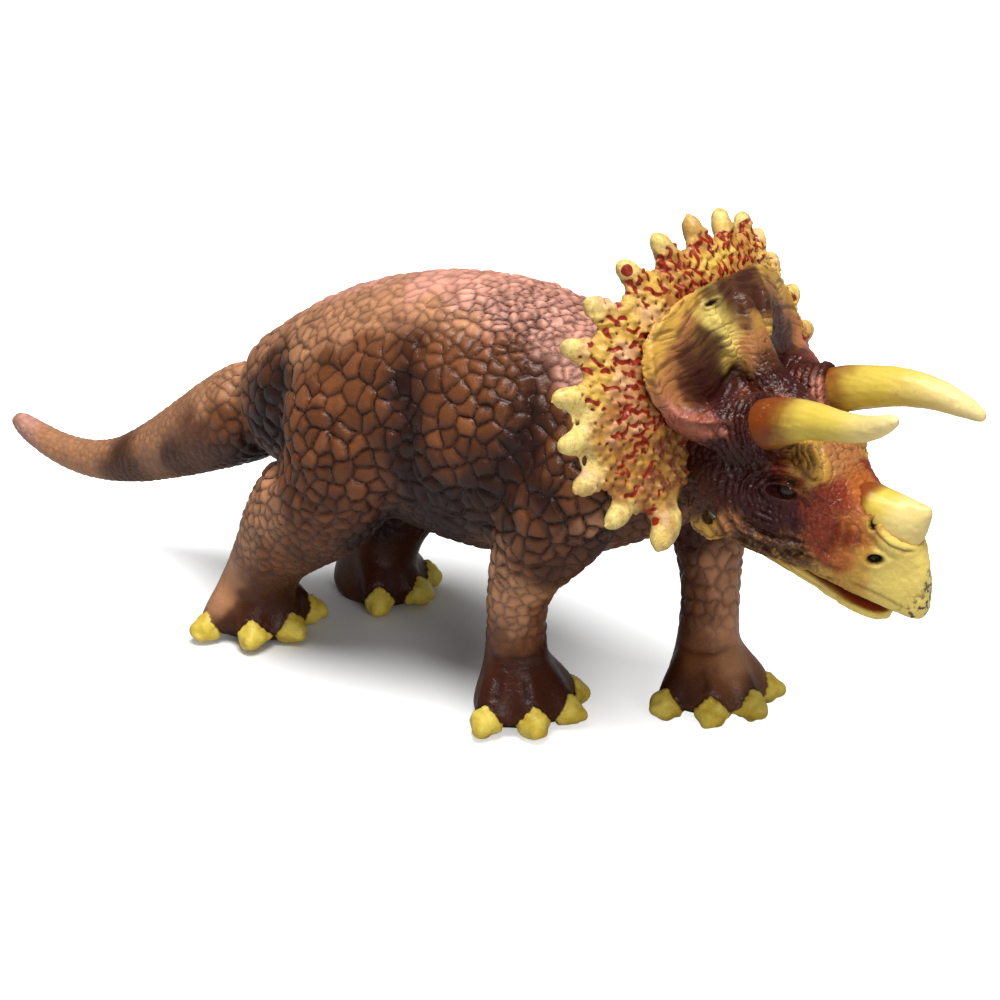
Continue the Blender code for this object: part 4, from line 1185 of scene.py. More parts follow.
# Raised ridges of the face and shield, mirrored, as (pixels, radius in mm).
HEAD_CORDS = [
    ([(752, 472), (764, 464), (784, 463), (803, 470), (819, 483)], 1.5),
    ([(796, 447), (799, 457), (806, 468)], 1.0),
    ([(803, 441), (805, 454), (810, 468), (813, 478)], 1.25),
    ([(812, 441), (815, 455), (820, 470)], 1.05),
    ([(789, 449), (793, 457), (799, 466)], 0.8),
    ([(716, 505), (721, 522), (734, 538), (757, 549), (784, 557), (808, 562)], 0.75),
    ([(724, 503), (732, 518), (746, 532), (770, 542), (796, 548)], 0.75),
    ([(745, 561), (775, 571), (805, 579), (832, 585)], 0.8),
    ([(800, 553), (820, 560), (838, 562)], 0.85),
    ([(868, 507), (871, 520), (877, 534), (889, 547), (905, 553), (920, 552)], 0.75),
    ([(651, 345), (652, 372), (661, 398), (679, 417), (705, 425), (730, 422), (744, 411)], 0.95),
    ([(652, 342), (664, 319), (685, 299), (712, 284), (738, 274)], 0.7),
    ([(705, 300), (714, 318), (724, 338), (733, 358)], 1.0),
]


def cords(surface, strokes):
    """Tapered cords that lie on a surface along strokes, on both sides."""
    meshes = []
    for pixels, radius in strokes:
        line = surface.line(pixels)
        if len(line) < 4:
            continue
        steps = np.linalg.norm(np.diff(line, axis=0), axis=1)
        line = line[np.concatenate([[True], steps < 6 * MM])]
        steps = np.linalg.norm(np.diff(line, axis=0), axis=1)
        travelled = np.concatenate([[0], np.cumsum(steps)])
        count = max(6, int(travelled[-1] / (0.7 * MM)))
        even = np.linspace(0, travelled[-1], count)
        points = np.stack([np.interp(even, travelled, line[:, k]) for k in range(3)], 1)
        for side in (1, -1):
            rings = []
            for i, point in enumerate(points):
                along = Vector(points[min(i + 1, count - 1)] - points[max(i - 1, 0)]).normalized()
                out = (Vector((0.35, -1, 0.35)) if point[1] < 0 else Vector((0, 0, 1))).normalized()
                across = along.cross(out).normalized()
                lift = across.cross(along)
                girth = radius * MM * (0.35 + 0.65 * math.sin(math.pi * min(1, max(0.04, i / (count - 1)))) ** 0.5)
                flip = Vector((1, side, 1))
                rings.append((Vector(point) * flip, across * flip * girth, lift * flip * girth))
            meshes.append(loft(rings, 12))
    return meshes


def layered_head(paint, s):
    base = layered(paint, s, HEAD_PAINTS)
    streak = paint.range(paint.noise(0.0016, 4.0), 0.52, 0.66)
    base = paint.mix(paint.math("MULTIPLY", paint.math("MULTIPLY", streak, 0.5), paint.attribute("raised_edge")), base, colour(s.ochre))
    return base


def head_colours(paint, s):
    base = layered_head(paint, s)
    # Folds of the face and the rim of the eye opening darkened in maroon: washed dark, with painted shade round the
    # eye.
    base = paint.mix(paint.math("MULTIPLY", paint.attribute("crease"), 0.88), base, colour(s.maroon))
    fine = paint.range(paint.attribute("fine"), 0.50, 0.95)
    base = paint.mix(paint.math("MULTIPLY", fine, 0.62), base, colour(s.maroon))
    base = paint.mix(paint.math("MULTIPLY", paint.attribute("ridge"), 0.30), base, colour(s.ochre))
    chips = paint.range(paint.noise(0.0011, 4.0), 0.50, 0.56)
    base = paint.mix(paint.math("MULTIPLY", paint.attribute("worn"), chips), base, (0.06, 0.05, 0.045, 1))
    # Nostrils and the shield's hole painted near-black: painted shade for their depth.
    base = paint.mix(paint.attribute("hole"), base, (0.008, 0.005, 0.004, 1))
    wrinkles = paint.math("MULTIPLY", paint.range(paint.cells(0.0009), 0.0, 0.16), 0.20)
    lines = paint.math("MULTIPLY", paint.attribute("fine"), -0.5)
    return base, paint.math("ADD", wrinkles, lines)


def horn_axis(node):
    """The middle and direction of a brow horn near its root, and its radius there."""
    co = coords(frame["nodes"][node].data)
    root = own(88.6, 0, 0)[0]
    near = co[(co[:, 0] > root) & (co[:, 0] < root + 3 * MM)]
    far = co[(co[:, 0] > root + 6 * MM) & (co[:, 0] < root + 10 * MM)]
    along = far.mean(0) - near.mean(0)
    along /= np.linalg.norm(along)
    d = near - near.mean(0)
    d -= np.outer(d @ along, along)
    return near.mean(0), along, np.linalg.norm(d, axis=1).max()


def collar(node):
    """The wrinkled rim round the root of a brow horn."""
    middle, along, radius = horn_axis(node)
    a = Vector(along)
    across = a.cross(Vector((0, 0, 1))).normalized()
    up = across.cross(a)
    start = Vector(middle) - a * 5.0 * MM
    rings = []
    for step, girth in ((0, 0.6), (0.6, 0.98), (1.9, 1.16), (3.2, 1.22), (4.6, 1.26), (5.8, 1.24), (6.6, 1.16), (6.9, 0.7)):
        wide = radius * girth
        rings.append((start + a * step * MM, across * wide, up * wide))
    return loft(rings, 28)


class DINO_OT_head(bpy.types.Operator):
    """Skull with its eyes, wrinkles, nostrils, beak and shield"""

    bl_idname = "dino.head"
    bl_label = "Head"

    def execute(self, context):
        settings = context.scene.dino_head
        mesh = cad_copy("head", "skull")
        ridges = cords(Surface(mesh), HEAD_CORDS)
        mesh = together(mesh, collar("brow_horn_right"), collar("brow_horn_left"), *ridges)
        mesh = even_skin(mesh, 0.55 * MM)
        relaxed(mesh, 5)
        co = coords(mesh)
        x, y, z = (co / MM).T
        x = x + 1.658
        beak = smooth_step(106, 118, x) * smooth_step(54, 46, z)
        co[:, 1] *= 1 - 0.42 * beak
        set_coords(mesh, co)
        surface = Surface(mesh)
        mesh = subdivided(mesh)
        co, n = coords(mesh), normals(mesh)
        x, y, z = (co / MM).T
        x = x + 1.658
        fold, wash_and_shade = sculpt(surface, co, HEAD_FOLDS)
        hole = np.zeros(len(co))
        for px, py, wide, tall, depth, sides in HEAD_HOLES:
            place = surface.pixel(px, py)
            for side in sides:
                d = (co - place * np.array([1, side, 1])) / MM
                r = np.sqrt((d[:, 0] / wide) ** 2 + (d[:, 2] / tall) ** 2 + (d[:, 1] / max(wide, 2)) ** 2)
                hole = np.maximum(hole, smooth_step(1.1, 0.85, r))
                fold += (0.32 * np.exp(-((r - 1.5) / 0.4) ** 2) - depth * np.exp(-r ** 4)) * MM
        eye = surface.pixel(781, 492)
        corner = surface.pixel(797, 496)
        along = (corner - eye) / np.linalg.norm(corner - eye)
        fine = np.zeros(len(co))
        for side in (1, -1):
            flip = np.array([1, side, 1])
            d = co - eye * flip
            u = d @ (along * flip)
            rest = d - np.outer(u, along * flip)
            v = np.sign(rest[:, 2]) * np.linalg.norm(rest, axis=1)
            r = np.sqrt((u / (2.5 * MM)) ** 2 + (v / (1.0 * MM)) ** 2)
            fold += (-1.5 * np.exp(-r ** 4) + 0.55 * np.exp(-(((r - 1.35) / 0.33) ** 2))) * MM
            # A dark ring of painted shade round the eye opening.
            wash_and_shade = np.maximum(wash_and_shade, np.exp(-(((r - 1.02) / 0.22) ** 2)) * 0.95)
            reach = np.sqrt((u / 1.25) ** 2 + v ** 2) / MM
            rings = np.cos(2 * math.pi * (reach + 0.6 * hash_noise(co, 2.5 * MM, 81)) / 1.15)
            around = smooth_step(13, 7, reach) * smooth_step(2.6, 3.6, reach) * smooth_step(6, -2, u / MM)
            fold += 0.11 * MM * rings * around
            fine = np.maximum(fine, smooth_step(0.1, -1, rings) * around)
        for node in ("brow_horn_right", "brow_horn_left"):
            middle, axis, radius = horn_axis(node)
            d = co - middle
            u = d @ axis / MM
            r = np.linalg.norm(d - np.outer(d @ axis, axis), axis=1)
            near = smooth_step(2.0, 1.5, r / radius) * smooth_step(-9, -5, u) * smooth_step(3.5, 1.5, u)
            rings = np.cos(2 * math.pi * (u + 0.9 * hash_noise(co, 3 * MM, 83)) / 1.5)
            fold += 0.20 * MM * rings * near
            fine = np.maximum(fine, smooth_step(0, -1, rings) * near)
        dish = smooth_step(84, 80, x) * smooth_step(64, 70, z) * smooth_step(-0.1, 0.4, n[:, 0])
        along_dish, over_dish = np.abs(y) - 0.3 * z, z + 0.3 * np.abs(y)
        flow = np.stack([along_dish / 8, over_dish + 0.5 * np.sin(along_dish / 2.2), x * 0.25], 1) * MM
        grooves = 1 - np.abs(2 * hash_noise(flow, 0.85 * MM, 85) - 1)
        finer = 1 - np.abs(2 * hash_noise(flow, 0.5 * MM, 86) - 1)
        lines = 0.6 * grooves + 0.4 * finer
        fold -= 0.22 * MM * lines * dish
        fine = np.maximum(fine, smooth_step(0.45, 0.95, lines) * dish * 0.9)
        slope = z - 0.62 * x + 2.5 * hash_noise(co, 4 * MM, 87)
        cheek = smooth_step(60, 52, z) * smooth_step(104, 96, x) * smooth_step(-0.2, 0.2, -np.abs(n[:, 1]) + 1.0)
        lines = np.cos(2 * math.pi * (z + 0.5 * x + 3.0 * hash_noise(co, 5 * MM, 88)) / 1.25)
        fold += 0.10 * MM * lines * cheek
        fine = np.maximum(fine, smooth_step(-0.3, -1, lines) * cheek * 0.7)
        keep(mesh, "ridge", np.clip(smooth_step(0.1, 0.9, lines) * cheek * smooth_step(54, 46, z), 0, 1))
        creases = np.maximum(
            smooth_step(0.80, 1.0, 1 - np.abs(2 * hash_noise(co, 1.5 * MM, 91) - 1)),
            0.8 * smooth_step(0.82, 1.0, 1 - np.abs(2 * hash_noise(co, 0.8 * MM, 92) - 1)),
        ) * (1 - dish) * smooth_step(122, 99, x)
        fold -= 0.30 * MM * creases
        fine = np.maximum(fine, 0.95 * creases * smooth_step(116, 98, x))
        ripple = hash_noise(co, 1.3 * MM, 41) + hash_noise(co, 0.8 * MM, 42) - 1
        keep(mesh, "relief", fold * settings.wrinkle_depth + ripple * 0.13 * MM)
        keep(mesh, "grain", np.ones(len(co)))
        keep(mesh, "crease", np.clip(wash_and_shade, 0, 1))
        keep(mesh, "fine", fine)
        keep(mesh, "hole", hole)
        keep(mesh, "raised_edge", smooth_step(56, 48, z) * smooth_step(106, 98, x))
        tip = np.linalg.norm((co - own(117, 0, 38)) / np.array([1.6, 1, 1.5]), axis=1) / MM
        front = np.linalg.norm((co - own(118.4, 0, 44)) / np.array([1.2, 1, 1.6]), axis=1) / MM
        keep(mesh, "worn", np.maximum(smooth_step(5.0, 2.0, tip), 0.9 * smooth_step(2.2, 1.2, front)))
        found = dabs(surface, HEAD_DABS) + dabs(surface, SHIELD_DABS, mirrored=False)
        lay_paint(mesh, co, found, HEAD_PAINTS, soft=2.4, power=2.6)
        material = painted("head paint", lambda paint: head_colours(paint, settings), 0.31, 0.16, 0.00018)
        mesh = raised(mesh, material, Relief_share=1.0, Grain_height=0.07 * MM, Grain_size=0.5 * MM)
        finish_piece("skull_skin", mesh, "figure", ["skull"], material)
        self.eyes(eye, along)
        return {"FINISHED"}

    def eyes(self, place, along):
        material, tree, shader = new_material("eye gloss")
        paint = Paint(tree)
        base = paint.mix(paint.range(paint.noise(0.0007), 0.3, 0.7), (0.012, 0.006, 0.005, 1), (0.03, 0.014, 0.010, 1))
        paint.links.new(base, shader.inputs["Base Color"])
        paint.links.new(paint.range(paint.noise(0.0003), 0.3, 0.7, 0.10, 0.20), shader.inputs["Roughness"])
        shader.inputs["Specular IOR Level"].default_value = 0.35
        paint.links.new(paint.bump(paint.noise(0.0004), 0.1, 0.00002), shader.inputs["Normal"])
        for name, side in (("eye_right", 1), ("eye_left", -1)):
            bm = bmesh.new()
            bmesh.ops.create_icosphere(bm, subdivisions=4, radius=2.1 * MM)
            centre = Vector(place * np.array([1, side, 1])) + Vector((0, side * 2.45 * MM, 0))
            for v in bm.verts:
                v.co = v.co + centre
            mesh = bpy.data.meshes.new(name)
            bm.to_mesh(mesh)
            bm.free()
            finish_piece(name, mesh, "figure", [], material)


JAW_PAINTS = ("ochre", "yellow", "rust")


def jaw_colours(paint, s):
    base = layered(paint, s, JAW_PAINTS)
    base = paint.mix(paint.math("MULTIPLY", paint.attribute("crease"), 0.8), base, colour(s.maroon))
    wrinkles = paint.math("MULTIPLY", paint.range(paint.cells(0.0009), 0.0, 0.16), 0.20)
    return base, wrinkles


class DINO_OT_jaw(bpy.types.Operator):
    """Lower jaw, which swings on its pin"""

    bl_idname = "dino.jaw"
    bl_label = "Lower jaw"

    def execute(self, context):
        settings = context.scene.dino_head
        mesh = even_skin(cad_copy("jaw", "lower_jaw"), 0.5 * MM)
        relaxed(mesh, 4)
        mesh = subdivided(mesh)
        co, n = coords(mesh), normals(mesh)
        x, y, z = (co / MM).T
        x = x + 1.658
        inside = smooth_step(0.45, 0.8, n[:, 2]) * smooth_step(0.9, 0.75, np.abs(y) / np.maximum(np.interp(x, [78, 90, 100, 108, 112], [9, 10, 8.5, 5.5, 2.5]), 0.5))
        lines = np.cos(2 * math.pi * (z + 0.5 * x + 2.5 * hash_noise(co, 4 * MM, 46)) / 1.3)
        keep(mesh, "relief", 0.09 * MM * lines * (1 - inside) + (hash_noise(co, 1.2 * MM, 43) - 0.5) * 0.15 * MM - 0.3 * MM * inside)
        keep(mesh, "grain", np.ones(len(co)))
        keep(mesh, "crease", smooth_step(-0.4, -1, lines) * 0.5 * (1 - inside) * smooth_step(104, 96, x))
        keep(mesh, "yellow", smooth_step(92, 104, x + 4 * hash_noise(co, 3 * MM, 47)))
        keep(mesh, "rust", inside)
        material = painted("jaw paint", lambda paint: jaw_colours(paint, settings), 0.34, 0.16, 0.00018)
        mesh = raised(mesh, material, Relief_share=1.0, Grain_height=0.06 * MM, Grain_size=0.6 * MM)
        finish_piece("lower_jaw_skin", mesh, "jaw", ["lower_jaw"], material)
        return {"FINISHED"}


# The frill

FRILL_PAINTS = ("yellow", "pale", "blush", "ochre", "red", "brown")

# Dabs of paint on the frill, mirrored, as pixels of the side that shows it best.
FRILL_DABS = [
    ("red", [(700, 238), (716, 236), (733, 243), (700, 283), (684, 290), (715, 279), (637, 372), (645, 350)]),
    ("red", [(634, 395), (652, 405), (628, 425), (655, 425), (640, 438), (662, 398), (657, 340), (652, 360)]),
    ("red", [(625, 400), (616, 432), (622, 470), (640, 452), (655, 515), (665, 522), (640, 280), (668, 258)]),
    ("red", [(700, 228), (745, 246)]),
    ("yellow", [(665, 262), (645, 282), (622, 308), (650, 305), (605, 335), (630, 330), (600, 362), (618, 350)]),
    ("yellow", [(708, 262), (690, 265), (725, 262), (675, 285), (595, 395), (605, 380), (640, 320)]),
    ("pale", [(590, 330), (578, 352), (570, 400), (573, 443), (585, 482), (612, 515), (660, 538), (680, 520)]),
    ("pale", [(625, 270), (657, 242), (686, 224), (717, 214), (740, 222), (583, 415), (590, 460), (632, 508)]),
    ("pale", [(600, 305), (640, 262)]),
    ("blush", [(760, 262), (775, 285), (790, 312), (803, 340), (812, 360), (795, 345), (758, 240), (778, 262)]),
    ("ochre", [(612, 410), (605, 440), (615, 460), (600, 425), (625, 450), (610, 480), (618, 395), (640, 465)]),
    ("ochre", [(622, 495), (745, 256), (670, 305)]),
    ("brown", [(655, 470), (670, 480), (660, 500), (685, 475), (690, 490), (648, 505), (672, 512)]),
    ("ochre", [(625, 440), (640, 420), (650, 440), (610, 455), (635, 480), (640, 498), (648, 385)]),
    ("brown", [(655, 452), (668, 440), (700, 480)]),
]

# Painted ovals on the upper spikes and the patch on the lowest, as pixel, radius in mm.
FRILL_OVALS = [(627, 270, 1.1), (655, 521, 0.8)]


def frill_colours(paint, s):
    base = layered(paint, s, ("yellow", "pale", "blush", "ochre"))
    base = paint.mix(paint.math("MULTIPLY", paint.attribute("red"), 0.55), base, colour(s.ochre))
    base = paint.mix(paint.math("MULTIPLY", paint.attribute("red"), 0.22), base, colour(s.red))
    base = paint.mix(paint.attribute("brown"), base, colour(s.brown))
    hollow = paint.math("MULTIPLY", paint.range(paint.noise(0.0030, 3.0), 0.45, 0.60), 0.35)
    base = paint.mix(paint.math("MULTIPLY", hollow, paint.attribute("pale")), base, colour(s.yellow))
    grime = paint.math("MULTIPLY", paint.range(paint.noise(0.0018, 4.0), 0.46, 0.66), 0.40)
    base = paint.mix(grime, base, colour(s.ochre))
    speckle = paint.math("MULTIPLY", paint.range(paint.noise(0.0006, 3.0), 0.54, 0.62), 0.40)
    base = paint.mix(speckle, base, colour(s.ochre))
    base = paint.mix(paint.range(paint.attribute("dash"), 0.26, 0.58), base, colour(s.red))
    base = paint.mix(paint.math("MULTIPLY", paint.range(paint.attribute("pit"), 0.25, 0.75), 0.85), base, colour(s.brown))
    wrinkles = paint.math("MULTIPLY", paint.range(paint.cells(0.0008), 0.0, 0.16), 0.18)
    return base, wrinkles


class DINO_OT_frill(bpy.types.Operator):
    """Frill with its bumps, painted dashes and spikes"""

    bl_idname = "dino.frill"
    bl_label = "Frill"

    def execute(self, context):
        settings = context.scene.dino_frill
        mesh = closed_up(cad_copy("frill", "frill"), 1.5 * MM, 0.58 * MM)
        relaxed(mesh, 3)
        surface = Surface(mesh)
        mesh = subdivided(mesh)
        co, n = coords(mesh), normals(mesh)
        hub = own(77, 0, 70)
        out = co - hub
        out[:, 0] = 0
        reach = np.linalg.norm(out, axis=1)
        out /= np.maximum(reach, 1e-6)[:, None]
        across = np.cross(out, np.array([1.0, 0, 0]))
        seeds = scale_seeds(co[::3], np.full(len(co[::3]), 1.6 * MM), settings.seed)
        tree = tree_of(seeds)
        near = np.array([[found[1] for found in tree.find_n(p, 2)] for p in co])
        rng = np.random.default_rng(settings.seed)
        kind = rng.random(len(seeds))
        size = 0.75 + 0.5 * rng.random(len(seeds))
        turn = rng.normal(0, 0.35, len(seeds))
        lay_paint(mesh, co, dabs(surface, FRILL_DABS), FRILL_PAINTS, soft=1.5, power=2.4)
        red = kept(mesh, "red") * (1 - kept(mesh, "brown"))
        wander = (hash_noise(co, 1.0 * MM, 51) - 0.5) * 1.5
        relief = np.zeros(len(co))
        dash = np.zeros(len(co))
        pit = np.zeros(len(co))
        for k in (0, 1):
            j = near[:, k]
            d = (co - seeds[j]) / MM
            u0 = (d * out).sum(1)
            v0 = (d * across).sum(1)
            w0 = np.abs((d * np.array([1, 0, 0])).sum(1))
            c, s = np.cos(turn[j]), np.sin(turn[j])
            u, v = u0 * c + v0 * s, v0 * c - u0 * s
            close = np.exp(-((w0 / 1.6) ** 4))
            bump = np.exp(-((u / (0.80 * size[j])) ** 2) - (v / (0.55 * size[j])) ** 2) * close
            hollow = np.exp(-(((u + 0.80 * size[j]) / 0.40) ** 2) - (v / 0.36) ** 2) * close
            relief += bump - 0.9 * hollow
            pit = np.maximum(pit, hollow * np.where(kind[j] < 0.8, 1.0, 0.35))
            spot = np.exp(-(((u + 0.55) / (0.75 * size[j])) ** 4) - ((v + wander * 0.6) / 0.30) ** 2) * close
            dash = np.maximum(dash, spot * (kind[j] < np.clip(0.15 + 1.2 * red, 0, 0.9)))
        rim = np.maximum(kept(mesh, "pale"), 0)
        rim = rim * (1 - kept(mesh, "ochre"))
        spike = smooth_step(0.55, 0.9, rim)
        front = smooth_step(-0.3, 0.25, n[:, 0])
        share = (1 - 0.85 * spike) * (0.45 + 0.55 * front)
        oval = np.zeros(len(co))
        for px, py, radius in FRILL_OVALS:
            place = surface.pixel(px, py)
            if place is None:
                continue
            for side in (1, -1):
                d = np.linalg.norm(co - place * np.array([1, side, 1]), axis=1) / (radius * MM)
                oval = np.maximum(oval, smooth_step(1.15, 0.75, d + 0.35 * wander * 0.5))
        marks = scale_seeds(co[::3], np.full(len(co[::3]), 2.0 * MM), settings.seed + 1)
        tree = tree_of(marks)
        near = np.array([[found[1] for found in tree.find_n(p, 3)] for p in co])
        kind = rng.random(len(marks))
        length = 0.7 + 1.3 * rng.random(len(marks)) ** 1.5
        turn = rng.normal(0, 0.45, len(marks))
        wave = rng.random(len(marks)) * 6.28
        for k in (0, 1, 2):
            j = near[:, k]
            d = (co - marks[j]) / MM
            u0, v0, w0 = (d * out).sum(1), (d * across).sum(1), np.abs(d[:, 0])
            c, s = np.cos(turn[j]), np.sin(turn[j])
            u, v = u0 * c + v0 * s, v0 * c - u0 * s
            bend = 0.30 * np.sin(2.1 * u + wave[j]) + wander * 0.25
            stroke = np.exp(-((u / (1.15 * length[j])) ** 4) - ((v + bend) / 0.42) ** 2 - (w0 / 1.6) ** 4)
            chance = np.clip(0.46 + 1.6 * red - 0.40 * kept(mesh, "pale"), 0, 0.98)
            dash = np.maximum(dash, stroke * (kind[j] < chance))
            relief -= 0.45 * stroke * (kind[j] < chance)
        keep(mesh, "relief", relief * settings.bump_height * share)
        keep(mesh, "grain", np.ones(len(co)))
        keep(mesh, "dash", np.maximum(dash * (0.15 + 0.85 * share), oval))
        keep(mesh, "pit", pit * share)
        material = painted("frill paint", lambda paint: frill_colours(paint, settings), 0.34, 0.14, 0.00015)
        mesh = raised(mesh, material, Relief_share=1.0, Grain_height=0.10 * MM, Grain_size=0.6 * MM)
        finish_piece("frill_skin", mesh, "figure", ["frill"], material)
        return {"FINISHED"}


# The horns and the pin

def horn_colours(paint, s):
    along = paint.math("ADD", paint.attribute("along"), paint.math("MULTIPLY", paint.math("SUBTRACT", paint.noise(0.003), 0.5), 0.14))
    base = paint.mix(paint.range(along, 0.16, 0.42), colour(s.root), colour(s.middle))
    base = paint.mix(paint.range(along, 0.50, 0.95), base, colour(s.tip))
    smudge = paint.math("MULTIPLY", paint.range(paint.noise(0.0014, 4.0), 0.60, 0.72), 0.35)
    return paint.mix(smudge, base, (0.42, 0.30, 0.06, 1)), None


def nose_horn_form():
    """The nose horn: a broad wedge with a level top, drawn out to a point at the front."""
    rings = []
    for x, top, bottom, half in (
        (103.6, 59.6, 57.6, 1.6), (104.6, 59.9, 55.2, 3.2), (106.5, 59.9, 52.4, 4.4), (108.8, 59.5, 50.4, 4.7),
        (111.2, 59.1, 49.5, 4.3), (113.4, 58.8, 49.3, 3.5), (115.2, 58.6, 49.9, 2.6), (116.6, 58.4, 52.2, 1.7),
        (117.5, 58.2, 55.2, 0.9), (117.8, 58.0, 56.9, 0.4),
    ):
        middle = Vector(own(x, 0, (top + bottom) / 2))
        rings.append((middle, Vector((0, half * MM, 0)), Vector((0, 0, (top - bottom) / 2 * MM))))
    return loft(rings, 24)


class DINO_OT_horns(bpy.types.Operator):
    """Two brow horns and the nose horn"""

    bl_idname = "dino.horns"
    bl_label = "Horns"

    def execute(self, context):
        settings = context.scene.dino_horn
        material = painted("horn paint", lambda paint: horn_colours(paint, settings), 0.33, 0.10, 0.00008)
        for node in ("brow_horn_right", "brow_horn_left", "nose_horn"):
            mesh = nose_horn_form() if node == "nose_horn" else cad_copy(node, node)
            mesh = even_skin(mesh, 0.45 * MM)
            relaxed(mesh, 6)
            mesh = subdivided(mesh)
            co = coords(mesh)
            x, y, z = (co / MM).T
            x = x + 1.658
            if node == "nose_horn":
                along = 0.15 + 0.65 * smooth_step(103, 113, x + 0.5 * (56 - z))
            elif node == "brow_horn_right":
                along = (x - 88) / 31.0
            else:
                along = 0.11 + (x - 88) / 33.0
            keep(mesh, "along", along)
            ripple = hash_noise(co * np.array([0.3, 1, 1]), 0.7 * MM, 61) + hash_noise(co, 2.5 * MM, 62) - 1
            keep(mesh, "relief", ripple * 0.14 * MM)
            keep(mesh, "grain", np.ones(len(co)))
            mesh = raised(mesh, material, Relief_share=1.0, Grain_height=0.03 * MM, Grain_size=0.9 * MM)
            finish_piece(node + "_skin", mesh, "figure", [node], material)
        return {"FINISHED"}


class DINO_OT_pin(bpy.types.Operator):
    """Steel pin of the jaw, which keeps its moulded shape"""

    bl_idname = "dino.pin"
    bl_label = "Jaw pin"

    def execute(self, context):
        material, tree, shader = new_material("pin steel")
        paint = Paint(tree)
        base = paint.mix(paint.noise(0.0006), (0.42, 0.41, 0.40, 1), (0.60, 0.59, 0.57, 1))
        paint.links.new(base, shader.inputs["Base Color"])
        paint.links.new(paint.range(paint.noise(0.0003), 0.3, 0.7, 0.25, 0.42), shader.inputs["Roughness"])
        paint.links.new(paint.bump(paint.noise(0.0002), 0.3, 0.00003), shader.inputs["Normal"])
        shader.inputs["Metallic"].default_value = 1.0
        pin = frame["nodes"]["jaw_pin"]
        for place in pin.material_slots:
            place.material = material
        return {"FINISHED"}


# The stage

def area_light(name, place, aim, size, power, tint=(1, 1, 1)):
    light = bpy.data.lights.new(name, "AREA")
    light.shape = "DISK"
    light.size = size
    light.energy = power
    light.color = tint
    lamp = bpy.data.objects.new(name, light)
    lamp.location = place
    lamp.rotation_euler = (Vector(aim) - Vector(place)).to_track_quat("-Z", "Y").to_euler()
    bpy.context.scene.collection.objects.link(lamp)
    return lamp


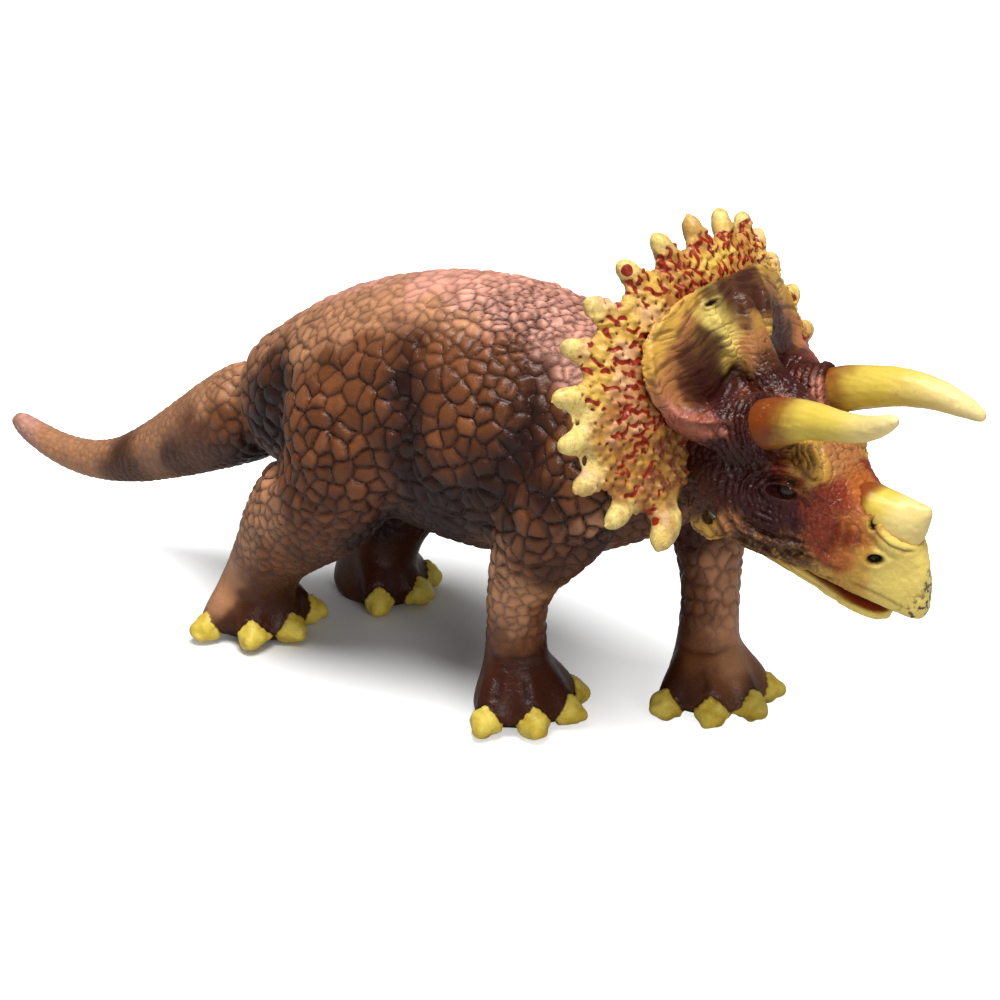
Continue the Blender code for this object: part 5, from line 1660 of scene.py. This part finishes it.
class DINO_OT_stage(bpy.types.Operator):
    """Pale floor, soft lights and the camera"""

    bl_idname = "dino.stage"
    bl_label = "Stage"

    def execute(self, context):
        settings = context.scene.dino_stage
        scene = context.scene
        bm = bmesh.new()
        bmesh.ops.create_grid(bm, x_segments=2, y_segments=2, size=4.0)
        mesh = bpy.data.meshes.new("floor")
        bm.to_mesh(mesh)
        bm.free()
        floor = scene_object("floor", mesh)
        floor.location.z = -0.0002
        material, tree, shader = new_material("floor white")
        paint = Paint(tree)
        base = paint.mix(paint.noise(0.3), (0.93, 0.93, 0.93, 1), (0.96, 0.96, 0.96, 1))
        paint.links.new(base, shader.inputs["Base Color"])
        shader.inputs["Roughness"].default_value = 0.9
        reach = paint.nodes.new("ShaderNodeVectorMath")
        reach.operation = "DISTANCE"
        paint.links.new(paint.place(), reach.inputs[0])
        reach.inputs[1].default_value = (-0.010, 0, 0)
        seen = paint.nodes.new("ShaderNodeLightPath").outputs["Is Camera Ray"]
        base = paint.mix(seen, (0.50, 0.50, 0.50, 1), base)
        paint.links.new(base, shader.inputs["Base Color"])
        shader.inputs["Emission Color"].default_value = (1, 1, 1, 1)
        # For the camera the floor glows white away from the middle: a painted brightening that lightens the object's
        # shadow beyond the body.
        glow = paint.math("MULTIPLY", paint.range(reach.outputs["Value"], 0.020, 0.090), seen)
        paint.links.new(glow, shader.inputs["Emission Strength"])
        floor.data.materials.append(material)
        world = bpy.data.worlds.new("studio")
        scene.world = world
        world.use_nodes = True
        nodes, links = world.node_tree.nodes, world.node_tree.links
        back = nodes["Background"]
        back.inputs["Color"].default_value = (1, 1, 1, 1)
        light_path = nodes.new("ShaderNodeLightPath")
        choose = nodes.new("ShaderNodeMapRange")
        links.new(light_path.outputs["Is Camera Ray"], choose.inputs["Value"])
        choose.inputs["To Min"].default_value = settings.world
        choose.inputs["To Max"].default_value = 1.0
        links.new(choose.outputs[0], back.inputs["Strength"])
        area_light("key", (0.16, -0.12, 0.70), (0.0, 0, 0.04), 0.42, settings.key)
        area_light("front", (0.80, -0.55, 0.35), (0.04, 0, 0.05), 0.35, settings.key * 0.34)
        camera = bpy.data.objects.new("camera", bpy.data.cameras.new("camera"))
        camera.data.lens = LENS
        camera.data.sensor_width = SENSOR
        camera.data.clip_start = 0.01
        camera.location = CAMERA_PLACE
        camera.rotation_euler = (-BACK).to_track_quat("-Z", "Y").to_euler()
        scene.collection.objects.link(camera)
        scene.camera = camera
        scene.view_settings.view_transform = "Standard"
        return {"FINISHED"}


class DINO_PT_panel(bpy.types.Panel):
    """Lists the pieces of the figure and their settings"""

    bl_label = "Dinosaur figure"
    bl_idname = "DINO_PT_panel"
    bl_space_type = "VIEW_3D"
    bl_region_type = "UI"
    bl_category = "Dinosaur"

    def draw(self, context):
        for settings, operators in PANEL_ROWS:
            box = self.layout.box()
            for operator in operators:
                box.operator(operator.bl_idname)
            group = getattr(context.scene, settings)
            for name in group.__annotations__:
                box.prop(group, name)


SETTINGS = {
    "dino_hide": HideSettings, "dino_head": HeadSettings, "dino_frill": FrillSettings,
    "dino_horn": HornSettings, "dino_stage": StageSettings,
}
OPERATORS = (DINO_OT_hide, DINO_OT_head, DINO_OT_jaw, DINO_OT_frill, DINO_OT_horns, DINO_OT_pin, DINO_OT_stage)
PANEL_ROWS = (
    ("dino_hide", (DINO_OT_hide,)), ("dino_head", (DINO_OT_head, DINO_OT_jaw)), ("dino_frill", (DINO_OT_frill,)),
    ("dino_horn", (DINO_OT_horns, DINO_OT_pin)), ("dino_stage", (DINO_OT_stage,)),
)


def register():
    for kind in (*SETTINGS.values(), *OPERATORS, DINO_PT_panel):
        bpy.utils.register_class(kind)
    for name, kind in SETTINGS.items():
        setattr(bpy.types.Scene, name, PointerProperty(type=kind))


def unregister():
    for name in SETTINGS:
        delattr(bpy.types.Scene, name)
    for kind in reversed((*SETTINGS.values(), *OPERATORS, DINO_PT_panel)):
        bpy.utils.unregister_class(kind)


def main():
    register()
    for operator in OPERATORS:
        getattr(bpy.ops.dino, operator.bl_idname.split(".")[1])()


if __name__ == "__main__":
    main()
